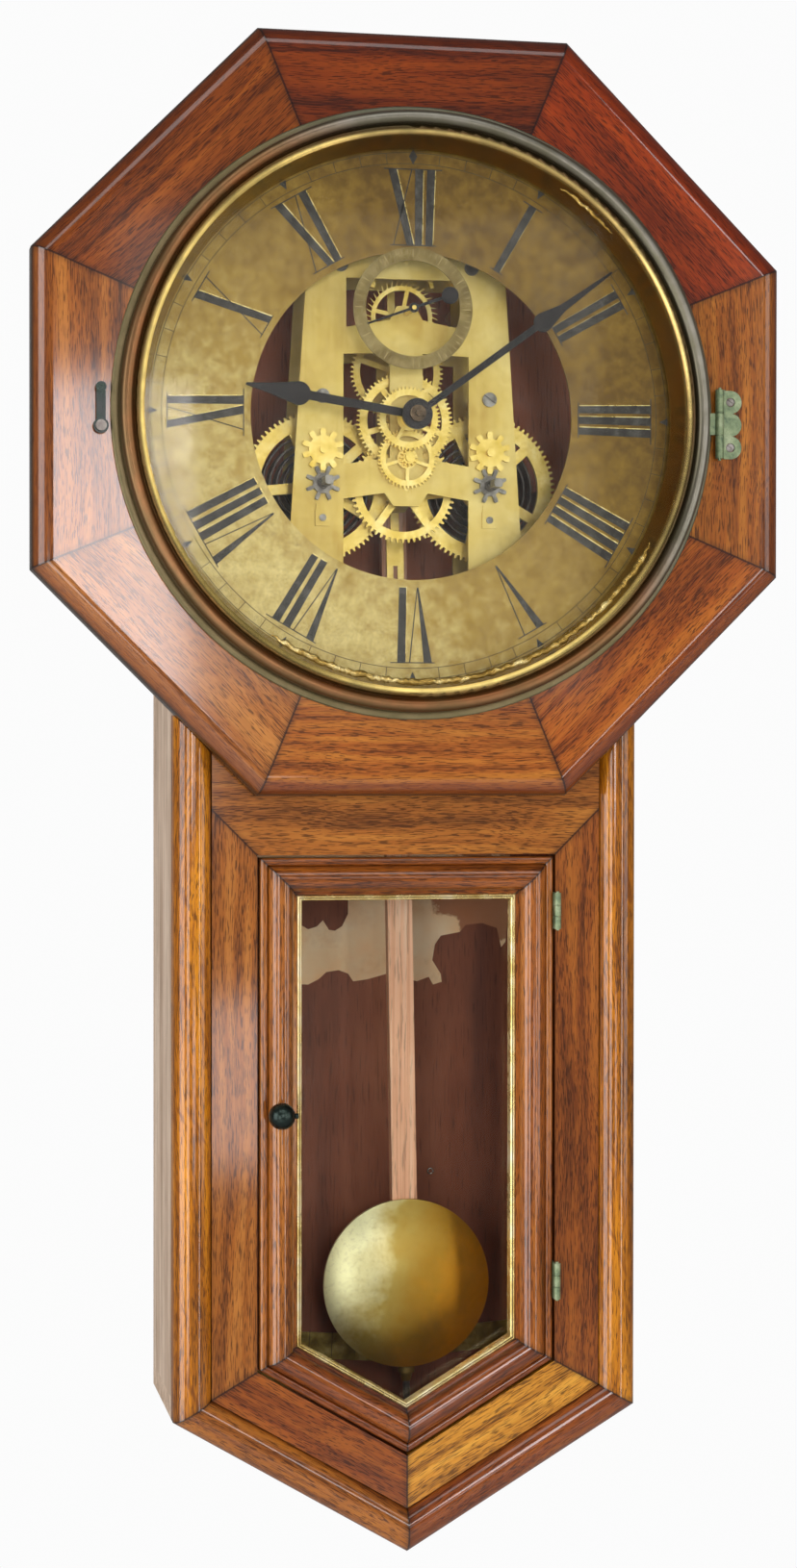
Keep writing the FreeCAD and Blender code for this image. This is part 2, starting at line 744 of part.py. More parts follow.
def make_catches():
    """Turn-button that keeps the bezel shut, and the trunk door's knob with its tongue."""
    face = mm("head_out") + mm("head_thick")
    low, high = face + 1.0, face + 3.4
    button = fuse(
        rod(CATCH_X, CATCH_LEVEL, 4.0, low, high),
        block(CATCH_X - 2.4, CATCH_X + 2.4, CATCH_LEVEL, CATCH_LEVEL + CATCH_ARM, low, high),
        rod(CATCH_X, CATCH_LEVEL + CATCH_ARM, 2.8, low, high + 1.2),
    )
    button = button.cut(rod(CATCH_X, CATCH_LEVEL, 1.55, face, face + 5))
    behind_door = mm("door_glass_out")
    shaft = rod(KNOB_X, KNOB_LEVEL, KNOB_SHAFT, behind_door - 3.0, 111.0)
    middle = Vector(KNOB_X, -115.5, KNOB_LEVEL)
    ball = Part.makeSphere(7.15, middle)
    collar = rod(KNOB_X, KNOB_LEVEL, 4.2, mm("trim_out") + 0.4, 110.0)
    nub = Part.makeCylinder(1.5, 8.8, middle, Vector(1, 0, 0))
    tongue = block(
        KNOB_X - 3, KNOB_X + 3, KNOB_LEVEL - 3.5, KNOB_LEVEL + 21,
        behind_door - 2.6, behind_door - 0.6,
    )
    return [place("bezel_catch", button), place("door_knob", fuse(ball, shaft, collar, nub, tongue))]


def make_knob_hole(frame):
    """Running hole for the knob's shaft through the door's left stile."""
    stile = next(piece for piece in frame.Links if piece.Label.endswith("stile_left"))
    sketch = front_sketch(stile, cell.door_back - 1)
    draw_circle(sketch, Size(KNOB_X), Size(KNOB_LEVEL), cell.running_gap + KNOB_SHAFT)
    pocket = stile.newObject("PartDesign::Pocket", "shaft_hole")
    pocket.Profile = sketch
    pocket.Reversed = True
    pocket.Length = 30
    stile.Tip = pocket


# ------------------------------------------------------------------ the movement
WINDING_RADIUS = 3.0


def make_plate(label, out):
    """Pierced brass plate with a window round the escape wheel and a tongue for its pivot."""
    body = new_body(label)
    sketch = front_sketch(body, out)
    top, low = cell.plate_top, -cell.plate_bottom
    top_half, low_half = cell.plate_top_half, cell.plate_bottom_half
    draw_polygon(sketch, [(-top_half, top), (top_half, top), (low_half, low), (-low_half, low)])
    strap, rib = cell.strap_inner, cell.centre_strap
    for side in (-1, 1):
        draw_polygon(sketch, [
            (strap * side, 35), (rib * side, 36), (rib * side, -20.5), (strap * side, -24.5),
        ])
    draw_polygon(sketch, [
        (-strap, low + 9), (-strap, -43), (-12, -39.5), (-7, -46.5), (7, -46.5), (12, -39.5),
        (strap, -43), (strap, low + 9),
    ])
    draw_polygon(sketch, [
        (-33, 49.5), (-9, 54), (-5.2, 61.5), (5.2, 61.5), (9, 54), (33, 49.5), (33, 76), (-33, 76),
    ])
    side, level = cell.great_side, -cell.great_level
    snug = cell.running_gap
    pivots = [
        (zero, zero, cell.arbor + snug), (zero, -cell.second_level, cell.pivot + snug),
        (zero, cell.third_level, cell.pivot + snug),
        (zero, cell.seconds_level, cell.pivot + snug),
        (side, level, snug + WINDING_RADIUS), (-side, level, snug + WINDING_RADIUS),
        (zero, cell.hanging_level, cell.pivot + snug),
    ]
    for x, z, radius in pivots:
        draw_circle(sketch, x, z, radius)
    pad(body, sketch, cell.plate_thick)
    return body


PILLARS = ((-36.0, 83.0), (36.0, 83.0), (-46.0, 12.0), (46.0, 12.0), (-57.0, -91.0), (57.0, -91.0))
FEET = ((-44.0, 68.0), (44.0, 68.0), (-54.0, -84.0), (54.0, -84.0))
BRIDGE_LEVEL = -53.5


def screw_head(x, z, radius, out, thick):
    """Slotted cheese-head screw."""
    head = rod(x, z, radius, out, out + thick)
    slot = block(x - radius, x + radius, z - 0.4, z + 0.4, out + thick * 0.5, out + thick + 1)
    return head.cut(about_y(slot, x, z, 35))


def make_posts():
    """Pillars between the plates and feet from the back plate to the backboard."""
    back, front = mm("back_plate_out"), mm("front_plate_out")
    inner = back + mm("plate_thick")
    posts = []
    for x, z in PILLARS:
        waist = rod(x, z, 3.0, inner, front)
        ends = [rod(x, z, 4.2, inner, inner + 5), rod(x, z, 4.2, front - 5, front)]
        posts.append(fuse(waist, *ends))
    for x, z in FEET:
        posts.append(rod(x, z, 5.0, mm("board"), back))
    face = front + mm("plate_thick")
    minute_post = rod(0, -mm("post_level"), 1.5, face, face + 10.6)
    posts.append(fuse(minute_post, rod(0, -mm("post_level"), 2.4, face + 9.4, face + 11.0)))
    for side in (-1, 1):
        x = side * mm("great_side")
        star_post = rod(x, -mm("star_level"), 1.5, face, face + 4.6)
        posts.append(fuse(star_post, rod(x, -mm("star_level"), 2.2, face + 4.4, face + 5.6)))
    return place("movement_posts", Part.makeCompound(posts))


def make_screws():
    """Plate screws, stop-work bridges' screws, dial screws and the catch's screw."""
    face = mm("front_plate_out") + mm("plate_thick")
    screws = [screw_head(x, z, 3.9, face, 1.6) for x, z in PILLARS]
    for side in (-1, 1):
        x = side * mm("great_side")
        bridge = block(x - 4.0, x + 4.0, BRIDGE_LEVEL - 4.5, BRIDGE_LEVEL + 4.5, face, face + 1.2)
        tab = block(x - 3.6, x + 3.6, BRIDGE_LEVEL + 4.4, -45.5, face, face + 1.0)
        screws.append(fuse(bridge, tab))
        screws.append(screw_head(x, BRIDGE_LEVEL, 1.9, face + 1.2, 0.9))
    rim = mm("dial_out") + mm("dial_thick")
    spread = mm("dial_radius") - 3.2
    for k in range(4):
        angle = math.radians(45 + 90 * k)
        x, z = spread * math.cos(angle), spread * math.sin(angle)
        screws.append(rod(x, z, 1.8, rim, rim + 0.8))
    board = mm("head_out") + mm("head_thick")
    stem = rod(CATCH_X, CATCH_LEVEL, 1.5, board, board + 3.8)
    screws.append(fuse(stem, rod(CATCH_X, CATCH_LEVEL, 2.9, board + 3.7, board + 4.9)))
    leaf_x = mm("bezel_pin") + 7.0
    for s in (-1, 1):
        z = BEZEL_HINGE_LEVEL + s * BEZEL_HINGE_LENGTH / 3
        screws.append(screw_head(leaf_x, z, 2.2, board, 0.8))
    return place("screws", Part.makeCompound(screws))


def make_mainsprings():
    """Two open-coiled steel ribbons behind the great wheels, built from half circles."""
    springs = []
    coils, inner, pitch, thick = 6, 9.0, 3.9, 1.1
    for side in (-1, 1):
        x0, z0 = side * mm("great_side"), -mm("great_level")

        def arc(shift, radius, upper):
            centre = Vector(x0 + shift, 0, z0)
            lift = radius if upper else -radius
            ends = [centre + Vector(s * radius, 0, 0) for s in (-1, 1)]
            return Part.Arc(ends[0], centre + Vector(0, 0, lift), ends[1]).toShape()

        edges = []
        for k in range(2 * coils):
            radius = inner + pitch * k / 2
            shift = side * (0 if k % 2 == 0 else pitch / 2)
            for grow in (0, thick):
                edges.append(arc(shift, radius + grow, k % 2 == 0))
        last = inner + pitch * (2 * coils - 1) / 2
        for x in (x0 + side * inner, x0 + side * (pitch / 2 + last)):
            edges.append(Part.makeLine(Vector(x, 0, z0), Vector(x + side * thick, 0, z0)))
        wire = Part.Wire(Part.__sortEdges__(edges))
        ribbon = Part.Face(wire).extrude(Vector(0, -15, 0))
        ribbon.translate(Vector(0, -(mm("back_plate_out") + mm("plate_thick") + 1.5), 0))
        springs.append(ribbon)
    return place("mainsprings", Part.makeCompound(springs))


def make_cock():
    """Bracket behind the back plate with the slit chops that hold the suspension spring."""
    back = mm("back_plate_out")
    level = mm("hanging_level")
    near = mm("pendulum_out")
    foot = block(-11, 11, level + 3.2, level + 14, back - 2, back)
    arm = block(-5, 5, level + 3.2, level + 12, near - 4, back - 1)
    chops = block(-4, 4, level, level + 3.4, near - 4, near + 3.8)
    slit = block(-0.25, 0.25, level - 1, level + 6, near - 3, near + 3)
    return place("suspension_cock", fuse(foot, arm, chops).cut(slit))


def arbor(z, radius, pivot_end):
    """A steel arbor on the centre line between the plates, with a thinner pivot in each."""
    back, front = mm("back_plate_out"), mm("front_plate_out")
    return fuse(
        rod(0, z, radius, back + mm("plate_thick") + 0.3, front - 0.3),
        rod(0, z, mm("pivot"), back + 0.2, pivot_end),
    )


LIGHT_ARBOR = 1.5


def make_train():
    """The going train: great wheels, second, centre, third and escape wheels."""
    back, face = mm("back_plate_out"), mm("front_plate_out") + mm("plate_thick")
    pivot_end = face - 0.1
    thin = mm("arbor")
    side, great_z = mm("great_side"), -mm("great_level")
    second_z, third_z, escape_z = -mm("second_level"), mm("third_level"), mm("seconds_level")
    pieces = []

    # centre: 64-tooth wheel drives the third, an 18-leaf pinion is driven by the second
    third_module = 2 * third_z / (64 + 8)
    wheel = toothed(0, 0, third_module, 64, WHEEL_TOOTH, 88.0, 89.5)
    wheel = spoked(wheel, 0, 0, 7.5, 20.6, 5, 3.2, 88.0, 89.5, turn=18)
    pinion = toothed(0, 0, 1.0, 18, LEAF_TOOTH, 82.0, 87.6)
    cannon = toothed(0, 0, 0.7, 15, LEAF_TOOTH, 95.3, 98.5)
    centre = fuse(
        wheel, pinion, cannon,
        rod(0, 0, 4.0, 87.0, 90.6),
        rod(0, 0, thin, back + 0.2, face + 2),
        rod(0, 0, 2.95, face + 0.5, 123.6),
        rod(0, 0, 2.0, 123.0, 127.0),
        rod(0, 0, 4.35, 125.4, 127.4),
        rod(0, 0, 1.6, 127.0, 129.6),
    )
    pieces.append(place("centre_wheel", centre))

    # second: 56-tooth wheel, 12-leaf pinion between both great wheels
    second_phase = mesh_phase((0, 0, 18, 0.0), (0, second_z, 56))
    wheel = toothed(0, second_z, 1.0, 56, WHEEL_TOOTH, 84.0, 85.6, second_phase)
    wheel = spoked(wheel, 0, second_z, 9.0, 22.8, 5, 4.2, 84.0, 85.6, turn=54)
    pinion = toothed(0, second_z, 1.0, 12, LEAF_TOOTH, 71.5, 79.5)
    hub = rod(0, second_z, 4.4, 79.0, 86.6)
    shaft = arbor(second_z, thin, pivot_end)
    pieces.append(place("second_wheel", fuse(wheel, pinion, shaft, hub)))

    # great wheels turn freely on their winding arbors
    second_pinion = (0, second_z, 12, 0.0)
    for name, sign in (("left", -1), ("right", 1)):
        x = sign * side
        phase = mesh_phase(second_pinion, (x, great_z, 80))
        wheel = toothed(x, great_z, 1.0, 80, WHEEL_TOOTH, 74.0, 77.0, phase)
        wheel = spoked(wheel, x, great_z, 12.0, 31.5, 5, 5.6, 74.0, 77.0, turn=30)
        wheel = fuse(wheel, rod(x, great_z, 7.5, 73.0, 79.5))
        wheel = wheel.cut(rod(x, great_z, WINDING_RADIUS + mm("running_gap"), 60, 90))
        click = flat([
            (x + 3, great_z + 14), (x + 8, great_z + 12.5), (x + 13, great_z + 9),
            (x + 11.5, great_z + 6.5), (x + 6, great_z + 9.2), (x + 2, great_z + 10.8),
        ], 77.0, 78.6)
        click = fuse(click, rod(x + 11.2, great_z + 8.6, 2.4, 77.0, 79.2))
        click = about_y(click, x, great_z, 30 * sign - 20)
        pieces.append(place(f"great_wheel_{name}", Part.makeCompound([wheel, click])))

    # third wheel, near the back plate, clears the centre and escape arbors
    escape_module = 2 * (escape_z - third_z) / (60 + 8)
    third_phase = mesh_phase((0, 0, 64, 0.0), (0, third_z, 8))
    wheel = toothed(0, third_z, escape_module, 60, WHEEL_TOOTH, 66.0, 67.3)
    wheel = spoked(wheel, 0, third_z, 6.0, 20.6, 5, 3.0, 66.0, 67.3, turn=-18)
    pinion = toothed(0, third_z, third_module, 8, LEAF_TOOTH, 86.6, 91.2, third_phase)
    hub = rod(0, third_z, 3.6, 65, 68.4)
    shaft = arbor(third_z, LIGHT_ARBOR, pivot_end)
    pieces.append(place("third_wheel", fuse(wheel, pinion, shaft, hub)))

    pieces.append(make_escape_wheel(escape_z, escape_module, third_z))
    return pieces


def make_escape_wheel(level, module, third_z):
    """Forty slanted teeth on a light rim; its arbor carries the seconds hand."""
    teeth, rim, tip = 40, 17.0, 20.0
    points = []
    for k in range(teeth):
        angle = 2 * math.pi * k / teeth
        step = 2 * math.pi / teeth
        for radius, turn in ((rim, 0.0), (tip, -0.34), (tip - 0.2, -0.24), (rim, 0.24)):
            points.append((radius, angle + turn * step))
    outline = [(r * math.cos(a), level + r * math.sin(a)) for r, a in points]
    wheel = flat(outline, 80.0, 81.0)
    wheel = spoked(wheel, 0, level, 4.5, 14.6, 4, 2.2, 80.0, 81.0, turn=12)
    phase = mesh_phase((0, third_z, 60, 0.0), (0, level, 8))
    pinion = toothed(0, level, module, 8, LEAF_TOOTH, 64.5, 69.0, phase)
    hub = rod(0, level, 3.0, 79.0, 82.0)
    return place("escape_wheel", fuse(wheel, pinion, hub, arbor(level, LIGHT_ARBOR, 116.2)))


def make_motion_work():
    """Twelve to one: minute wheel on its post, hour wheel on a pipe round the cannon."""
    post_z = -mm("post_level")
    phase = mesh_phase((0, 0, 15, 0.0), (0, post_z, 45))
    wheel = toothed(0, post_z, 0.7, 45, WHEEL_TOOTH, 96.0, 97.5, phase)
    wheel = spoked(wheel, 0, post_z, 5.6, 12.0, 5, 1.8, 96.0, 97.5, turn=18)
    pinion = toothed(0, post_z, 0.7, 12, LEAF_TOOTH, 97.0, 102.8)
    bore = rod(0, post_z, 1.5 + mm("running_gap"), 90, 110)
    minute = fuse(wheel, pinion).cut(bore)
    phase = mesh_phase((0, post_z, 12, 0.0), (0, 0, 48))
    wheel = toothed(0, 0, 0.7, 48, WHEEL_TOOTH, 100.0, 101.5, phase)
    wheel = spoked(wheel, 0, 0, 6.4, 12.6, 4, 2.0, 100.0, 101.5, turn=30)
    pipe = fuse(wheel, rod(0, 0, 4.2, 99.4, 120.6))
    pipe = pipe.cut(rod(0, 0, 2.95 + mm("running_gap"), 90, 125))
    return [place("minute_wheel", minute), place("hour_wheel", pipe)]


def make_winding(name, sign):
    """Winding arbor with its squared end and steel stop finger, and the brass stop star."""
    x, z = sign * mm("great_side"), -mm("great_level")
    face = mm("front_plate_out") + mm("plate_thick")
    finger = toothed(x, z, 2.0, 8, (0.22, 0.36, 0.40, 0.80, 1.20), face + 0.5, face + 3.0, 0.4)
    shoulder, end = 104.0, 117.5
    square = block(x - 2.1, x + 2.1, z - 2.1, z + 2.1, shoulder, end - 0.5)
    round_stock = rod(x, z, 2.6, shoulder, end)
    tip = round_stock.common(block(x - 2.3, x + 2.3, z - 2.3, z + 2.3, shoulder - 1, end + 1))
    shaft = rod(x, z, WINDING_RADIUS, mm("back_plate_out") + 0.2, shoulder + 0.5)
    arbor_shape = fuse(shaft, square, tip, finger)
    star_z = -mm("star_level")
    phase = mesh_phase((x, z, 8, 0.4), (x, star_z, 10))
    star = toothed(x, star_z, 2.0, 10, (0.34, 0.52, 0.56, 0.75, 1.10), face + 0.7, face + 2.6, phase)
    star = star.cut(rod(x, star_z, 1.5 + mm("running_gap"), face - 1, face + 6))
    return [place(f"winding_arbor_{name}", arbor_shape), place(f"stop_star_{name}", star)]


def hand(reach, bulb, bulb_radius, stem, hub, bore, out_a, out_b, degrees):
    """Spade hand: parallel stem, round bulb, then a long taper to the point."""
    half = stem / 2
    rise = bulb_radius * 0.92
    blade = flat([
        (-half, 0), (half, 0), (half * 1.15, bulb), (-half * 1.15, bulb),
    ], out_a, out_b)
    point = flat([
        (-rise, bulb + bulb_radius * 0.4), (rise, bulb + bulb_radius * 0.4),
        (half * 1.25, bulb + bulb_radius * 2.6), (0.6, reach), (-0.6, reach),
        (-half * 1.25, bulb + bulb_radius * 2.6),
    ], out_a, out_b)
    pieces = [rod(0, bulb, bulb_radius, out_a, out_b), point, rod(0, 0, hub, out_a, out_b + 0.4)]
    shape = fuse(blade, *pieces).cut(rod(0, 0, bore, out_a - 1, out_b + 2))
    return about_y(shape, 0, 0, degrees)


def make_hands():
    hour = hand(mm("hour_reach"), mm("hour_bulb"), 6.3, 4.2, 7.4, 4.2, 118.6, 119.8, mm("hour_angle"))
    minute = hand(
        mm("minute_reach"), mm("minute_bulb"), 5.2, 3.4, 8.2, 2.0, 123.9, 125.0, mm("minute_angle")
    )
    level = mm("seconds_level")
    needle = flat([
        (-0.9, level - 17), (0.9, level - 17), (0.5, level + 26.5), (-0.5, level + 26.5),
    ], 114.4, 115.2)
    disc = rod(0, level - 21, 4.6, 114.4, 115.2)
    hub = rod(0, level, 2.6, 114.4, 115.8)
    seconds = fuse(needle, disc, hub).cut(rod(0, level, mm("pivot"), 113, 117))
    seconds = about_y(seconds, 0, level, mm("seconds_angle"))
    return [place("hour_hand", hour), place("minute_hand", minute), place("seconds_hand", seconds)]


# ------------------------------------------------------------------ pendulum and verge
def swung(shape):
    """The shape at the stored swing, to the right, about the suspension."""
    return about_y(shape, 0, mm("hanging_level"), -mm("rest_swing"))


def make_verge():
    """Pallet strip over the escape wheel and the crutch that drives the rod."""
    level = mm("hanging_level")
    back, face = mm("back_plate_out"), mm("front_plate_out") + mm("plate_thick")
    strip = flat([
        (-17.6, 73.6), (-15.6, 73.2), (-13.6, 80.2), (0, 82.9), (13.6, 80.2), (15.6, 73.2),
        (17.6, 73.6), (15.6, 82.4), (0, 87.6), (-15.6, 82.4),
    ], 79.2, 81.8)
    crutch_out = mm("pendulum_out") + mm("rod_thick") / 2 + 1.0
    arm = flat([(-2, level), (2, level), (2.4, -60), (-2.4, -60)], crutch_out, crutch_out + 1.6)
    paddle = block(-4.8, 4.8, -104, -59, crutch_out, crutch_out + 1.6)
    slot = block(-1.2, 1.2, -98, -76, crutch_out - 1, crutch_out + 4)
    shape = fuse(
        strip, rod(0, level, 3.0, 78.6, 82.4), arm, paddle,
        rod(0, level, mm("pivot"), crutch_out, face - 0.2),
        rod(0, level, 2.6, crutch_out, crutch_out + 2.6),
    ).cut(slot)
    return place("verge_and_crutch", swung(shape))


def make_pendulum():
    """Wooden rod with its spring and pin, the lenticular bob and the rating nut."""
    level, near = mm("hanging_level"), mm("pendulum_out")
    half, deep = mm("rod_width") / 2, mm("rod_thick") / 2
    end = level - mm("rod_end")
    stick = block(-half, half, end, mm("rod_top"), near - deep, near + deep)
    slit = block(-0.15, 0.15, mm("rod_top") - 12, mm("rod_top") + 1, near - 2.6, near + 2.6)
    stick = stick.cut(slit)
    stick = stick.cut(rod(0, -87, 0.9, near - 5, near + deep + 1))
    stick = stick.cut(upright_rod(0, near, 2.0, end - 1, end + 14))
    spring = block(-0.15, 0.15, mm("rod_top") - 12, level + 0.3, near - 2.6, near + 2.6)
    pin = rod(0, -87, 0.9, near - 3, near + deep + 3.2)
    thread = upright_rod(0, near, 2.0, level - mm("thread_end"), end + 14)
    fittings = Part.makeCompound([spring, pin, thread])

    bob_z = level - mm("bob_drop")
    radius, depth = mm("bob_radius"), mm("bob_half_depth")
    rim_half = 1.2
    swell = depth - rim_half
    sphere = (radius**2 + swell**2) / (2 * swell)
    bob = Part.makeCylinder(radius, 2 * depth, Vector(0, -depth, 0), Vector(0, 1, 0))
    for centre in (sphere - depth, depth - sphere):
        bob = bob.common(Part.makeSphere(sphere, Vector(0, centre, 0)))
    bob.translate(Vector(0, -near - mm("bob_forward"), bob_z))
    gap = mm("running_gap")
    channel = block(
        -half - gap, half + gap, bob_z - radius - 1, bob_z + radius + 1,
        near - deep - gap, near + deep + gap,
    )
    bob = bob.cut(channel)
    nut_top = bob_z - radius - 0.5
    disc = upright_rod(0, near, 4.7, nut_top - 3.4, nut_top)
    cone = Part.makeCone(2.6, 3.6, 5.0, Vector(0, -near, nut_top - 8.2), Vector(0, 0, 1))
    nut = fuse(disc, cone)
    nut = nut.cut(upright_rod(0, near, 2.0 + gap, nut_top - 9, nut_top + 1))
    return [
        place("pendulum_rod", swung(stick)), place("pendulum_fittings", swung(fittings)),
        place("pendulum_bob", swung(bob)), place("rating_nut", swung(nut)),
    ]


# ------------------------------------------------------------------ assembly
nodes = [
    make_backboard(), make_side("side_board_left", -1), make_side("side_board_right", 1),
    make_floor("floor_board_left", -1), make_floor("floor_board_right", 1), make_top(),
]
nodes += make_octagon()
nodes += make_trunk_trim()
nodes += [make_flat_frame(), make_wall_hanger(), make_paper_label(), make_beat_scale()]
door_nodes = make_door()
make_knob_hole(door_nodes[0])
nodes += door_nodes
nodes += make_dial()
nodes += make_bezel()
nodes += make_hinges()
nodes += make_catches()
nodes += [
    make_plate("front_plate", cell.front_plate_out),
    make_plate("back_plate", cell.back_plate_out),
    make_posts(), make_screws(), make_mainsprings(), make_cock(),
]
nodes += make_train()
nodes += make_motion_work()
nodes += make_winding("left", -1) + make_winding("right", 1)
nodes += make_hands()
nodes += [make_verge()] + make_pendulum()
doc.recompute()

for item in doc.Objects:
    for trouble in ("Invalid", "Error"):
        if trouble in item.State:
            raise RuntimeError(f"{item.Label} is {trouble}")
for node in nodes:
    if node.Shape.isNull() or not node.Shape.isValid():
        raise RuntimeError(f"{node.Label} has no valid shape")
for node in nodes:
    node.Shape.exportStep(f"parts/{node.Label}.step")
print(len(nodes), "nodes", sum(len(node.Shape.Solids) for node in nodes), "solids")
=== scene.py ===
"""Pendulum wall clock with an octagon head: finishes, painted and engraved detail, light and camera."""

import math
import random

import bmesh
import bpy
from mathutils import Matrix, Vector


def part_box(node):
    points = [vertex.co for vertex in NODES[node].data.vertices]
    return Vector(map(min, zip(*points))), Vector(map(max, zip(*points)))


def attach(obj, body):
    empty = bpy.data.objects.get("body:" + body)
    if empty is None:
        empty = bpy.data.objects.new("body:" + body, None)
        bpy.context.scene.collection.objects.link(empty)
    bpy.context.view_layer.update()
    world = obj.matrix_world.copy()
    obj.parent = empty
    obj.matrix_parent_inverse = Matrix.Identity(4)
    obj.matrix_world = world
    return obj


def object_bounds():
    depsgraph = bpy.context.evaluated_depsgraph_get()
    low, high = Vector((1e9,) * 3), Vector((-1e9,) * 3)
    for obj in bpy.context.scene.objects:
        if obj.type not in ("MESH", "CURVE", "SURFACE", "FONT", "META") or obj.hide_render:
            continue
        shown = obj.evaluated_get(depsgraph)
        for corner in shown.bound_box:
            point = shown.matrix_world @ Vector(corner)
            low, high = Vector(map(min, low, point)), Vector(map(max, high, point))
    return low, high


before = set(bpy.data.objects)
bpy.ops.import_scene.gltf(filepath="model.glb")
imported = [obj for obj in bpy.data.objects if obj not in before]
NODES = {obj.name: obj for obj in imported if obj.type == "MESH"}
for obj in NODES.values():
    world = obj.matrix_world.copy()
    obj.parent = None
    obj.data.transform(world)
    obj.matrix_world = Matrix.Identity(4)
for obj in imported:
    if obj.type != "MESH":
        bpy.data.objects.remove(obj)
CAD_LOW, CAD_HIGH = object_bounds()

MM = 0.001
dial_low, dial_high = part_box("dial_plate")
DIAL = (dial_low + dial_high) / 2
DIAL_FRONT = dial_low.y
TRUNK_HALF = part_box("trunk_moulding_right")[1].x
DOOR_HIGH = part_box("door_frame")[1]
APEX = CAD_LOW.z
TOE_ANGLE = 30.6
TOE_SLOPE = math.tan(math.radians(TOE_ANGLE))
HEAD_HALF = CAD_HIGH.x
PENDULUM_PIVOT_UP = 85 * MM


def rgb(code):
    """Linear colour from an sRGB hex code."""
    values = [int(code[i : i + 2], 16) / 255 for i in (1, 3, 5)]
    return tuple(v / 12.92 if v < 0.04045 else ((v + 0.055) / 1.055) ** 2.4 for v in values) + (1.0,)


# ---------------------------------------------------------------- camera, light and floor


def make_camera():
    place = (-0.2989, -1.6106, -0.3284)
    yaw, pitch, roll = -0.192, -0.012, 0.001
    sensor, focal_over_sensor = 36.0, 1.818773
    forward = Vector((-math.sin(yaw) * math.cos(pitch), math.cos(yaw) * math.cos(pitch), math.sin(pitch)))
    side = Vector((math.cos(yaw), math.sin(yaw), 0))
    up = side.cross(forward)
    right = math.cos(roll) * side + math.sin(roll) * up
    top = math.cos(roll) * up - math.sin(roll) * side
    data = bpy.data.cameras.new("camera")
    data.sensor_width = sensor
    data.lens = sensor * focal_over_sensor
    camera = bpy.data.objects.new("camera", data)
    bpy.context.scene.collection.objects.link(camera)
    turn = Matrix((right, top, -forward)).transposed()
    camera.matrix_world = Matrix.Translation(place) @ turn.to_4x4()
    bpy.context.scene.camera = camera


LIGHT_AIM = Vector((0, 0, -0.36))


def soft_light(name, place, size, power, colour):
    """Rectangular lamp of that size in metres, power in watts, turned to the middle of the clock."""
    data = bpy.data.lights.new(name, "AREA")
    data.shape = "RECTANGLE"
    data.size, data.size_y = size
    data.energy = power
    data.color = colour
    lamp = bpy.data.objects.new(name, data)
    bpy.context.scene.collection.objects.link(lamp)
    lamp.location = place
    lamp.rotation_mode = "QUATERNION"
    lamp.rotation_quaternion = (LIGHT_AIM - Vector(place)).to_track_quat("-Z", "Y")


def make_sweep():
    """A pale floor that curves up into a backdrop well behind the clock."""
    profile = [(-7.0, -1.25), (3.6, -1.25)]
    for step in range(1, 13):
        angle = math.radians(90 * step / 12)
        profile.append((3.6 + 2.2 * math.sin(angle), -1.25 + 2.2 * (1 - math.cos(angle))))
    profile.append((5.8, 8.0))
    mesh = bpy.data.meshes.new("sweep")
    points = [(x, y, z) for y, z in profile for x in (-9.0, 9.0)]
    faces = [(2 * i, 2 * i + 1, 2 * i + 3, 2 * i + 2) for i in range(len(profile) - 1)]
    mesh.from_pydata(points, [], faces)
    mesh.polygons.foreach_set("use_smooth", [True] * len(faces))
    sweep = bpy.data.objects.new("sweep", mesh)
    bpy.context.scene.collection.objects.link(sweep)
    paint = Paint("sweep")
    matt = paint.node("BsdfDiffuse")
    matt.inputs["Color"].default_value = (0.85, 0.85, 0.85, 1)
    pale = paint.node("Emission")
    pale.inputs["Color"].default_value = (0.97, 0.97, 0.97, 1)
    seen = paint.node("LightPath").outputs["Is Camera Ray"]
    blend = paint.node("MixShader")
    for socket, source in zip(blend.inputs, (seen, matt.outputs[0], pale.outputs[0])):
        paint.tree.links.new(source, socket)
    paint.tree.links.new(blend.outputs[0], paint.node("OutputMaterial").inputs["Surface"])
    sweep.data.materials.append(paint.material)


def make_world():
    world = bpy.data.worlds.new("room")
    world.use_nodes = True
    tree = world.node_tree
    back = tree.nodes["Background"]
    back.inputs["Color"].default_value = (1.0, 0.985, 0.97, 1)
    power = tree.nodes.new("ShaderNodeMapRange")
    power.inputs["To Min"].default_value = 0.13
    power.inputs["To Max"].default_value = 0.97
    seen = tree.nodes.new("ShaderNodeLightPath").outputs["Is Camera Ray"]
    tree.links.new(seen, power.inputs["Value"])
    tree.links.new(power.outputs[0], back.inputs["Strength"])
    bpy.context.scene.world = world


# ---------------------------------------------------------------- shader building


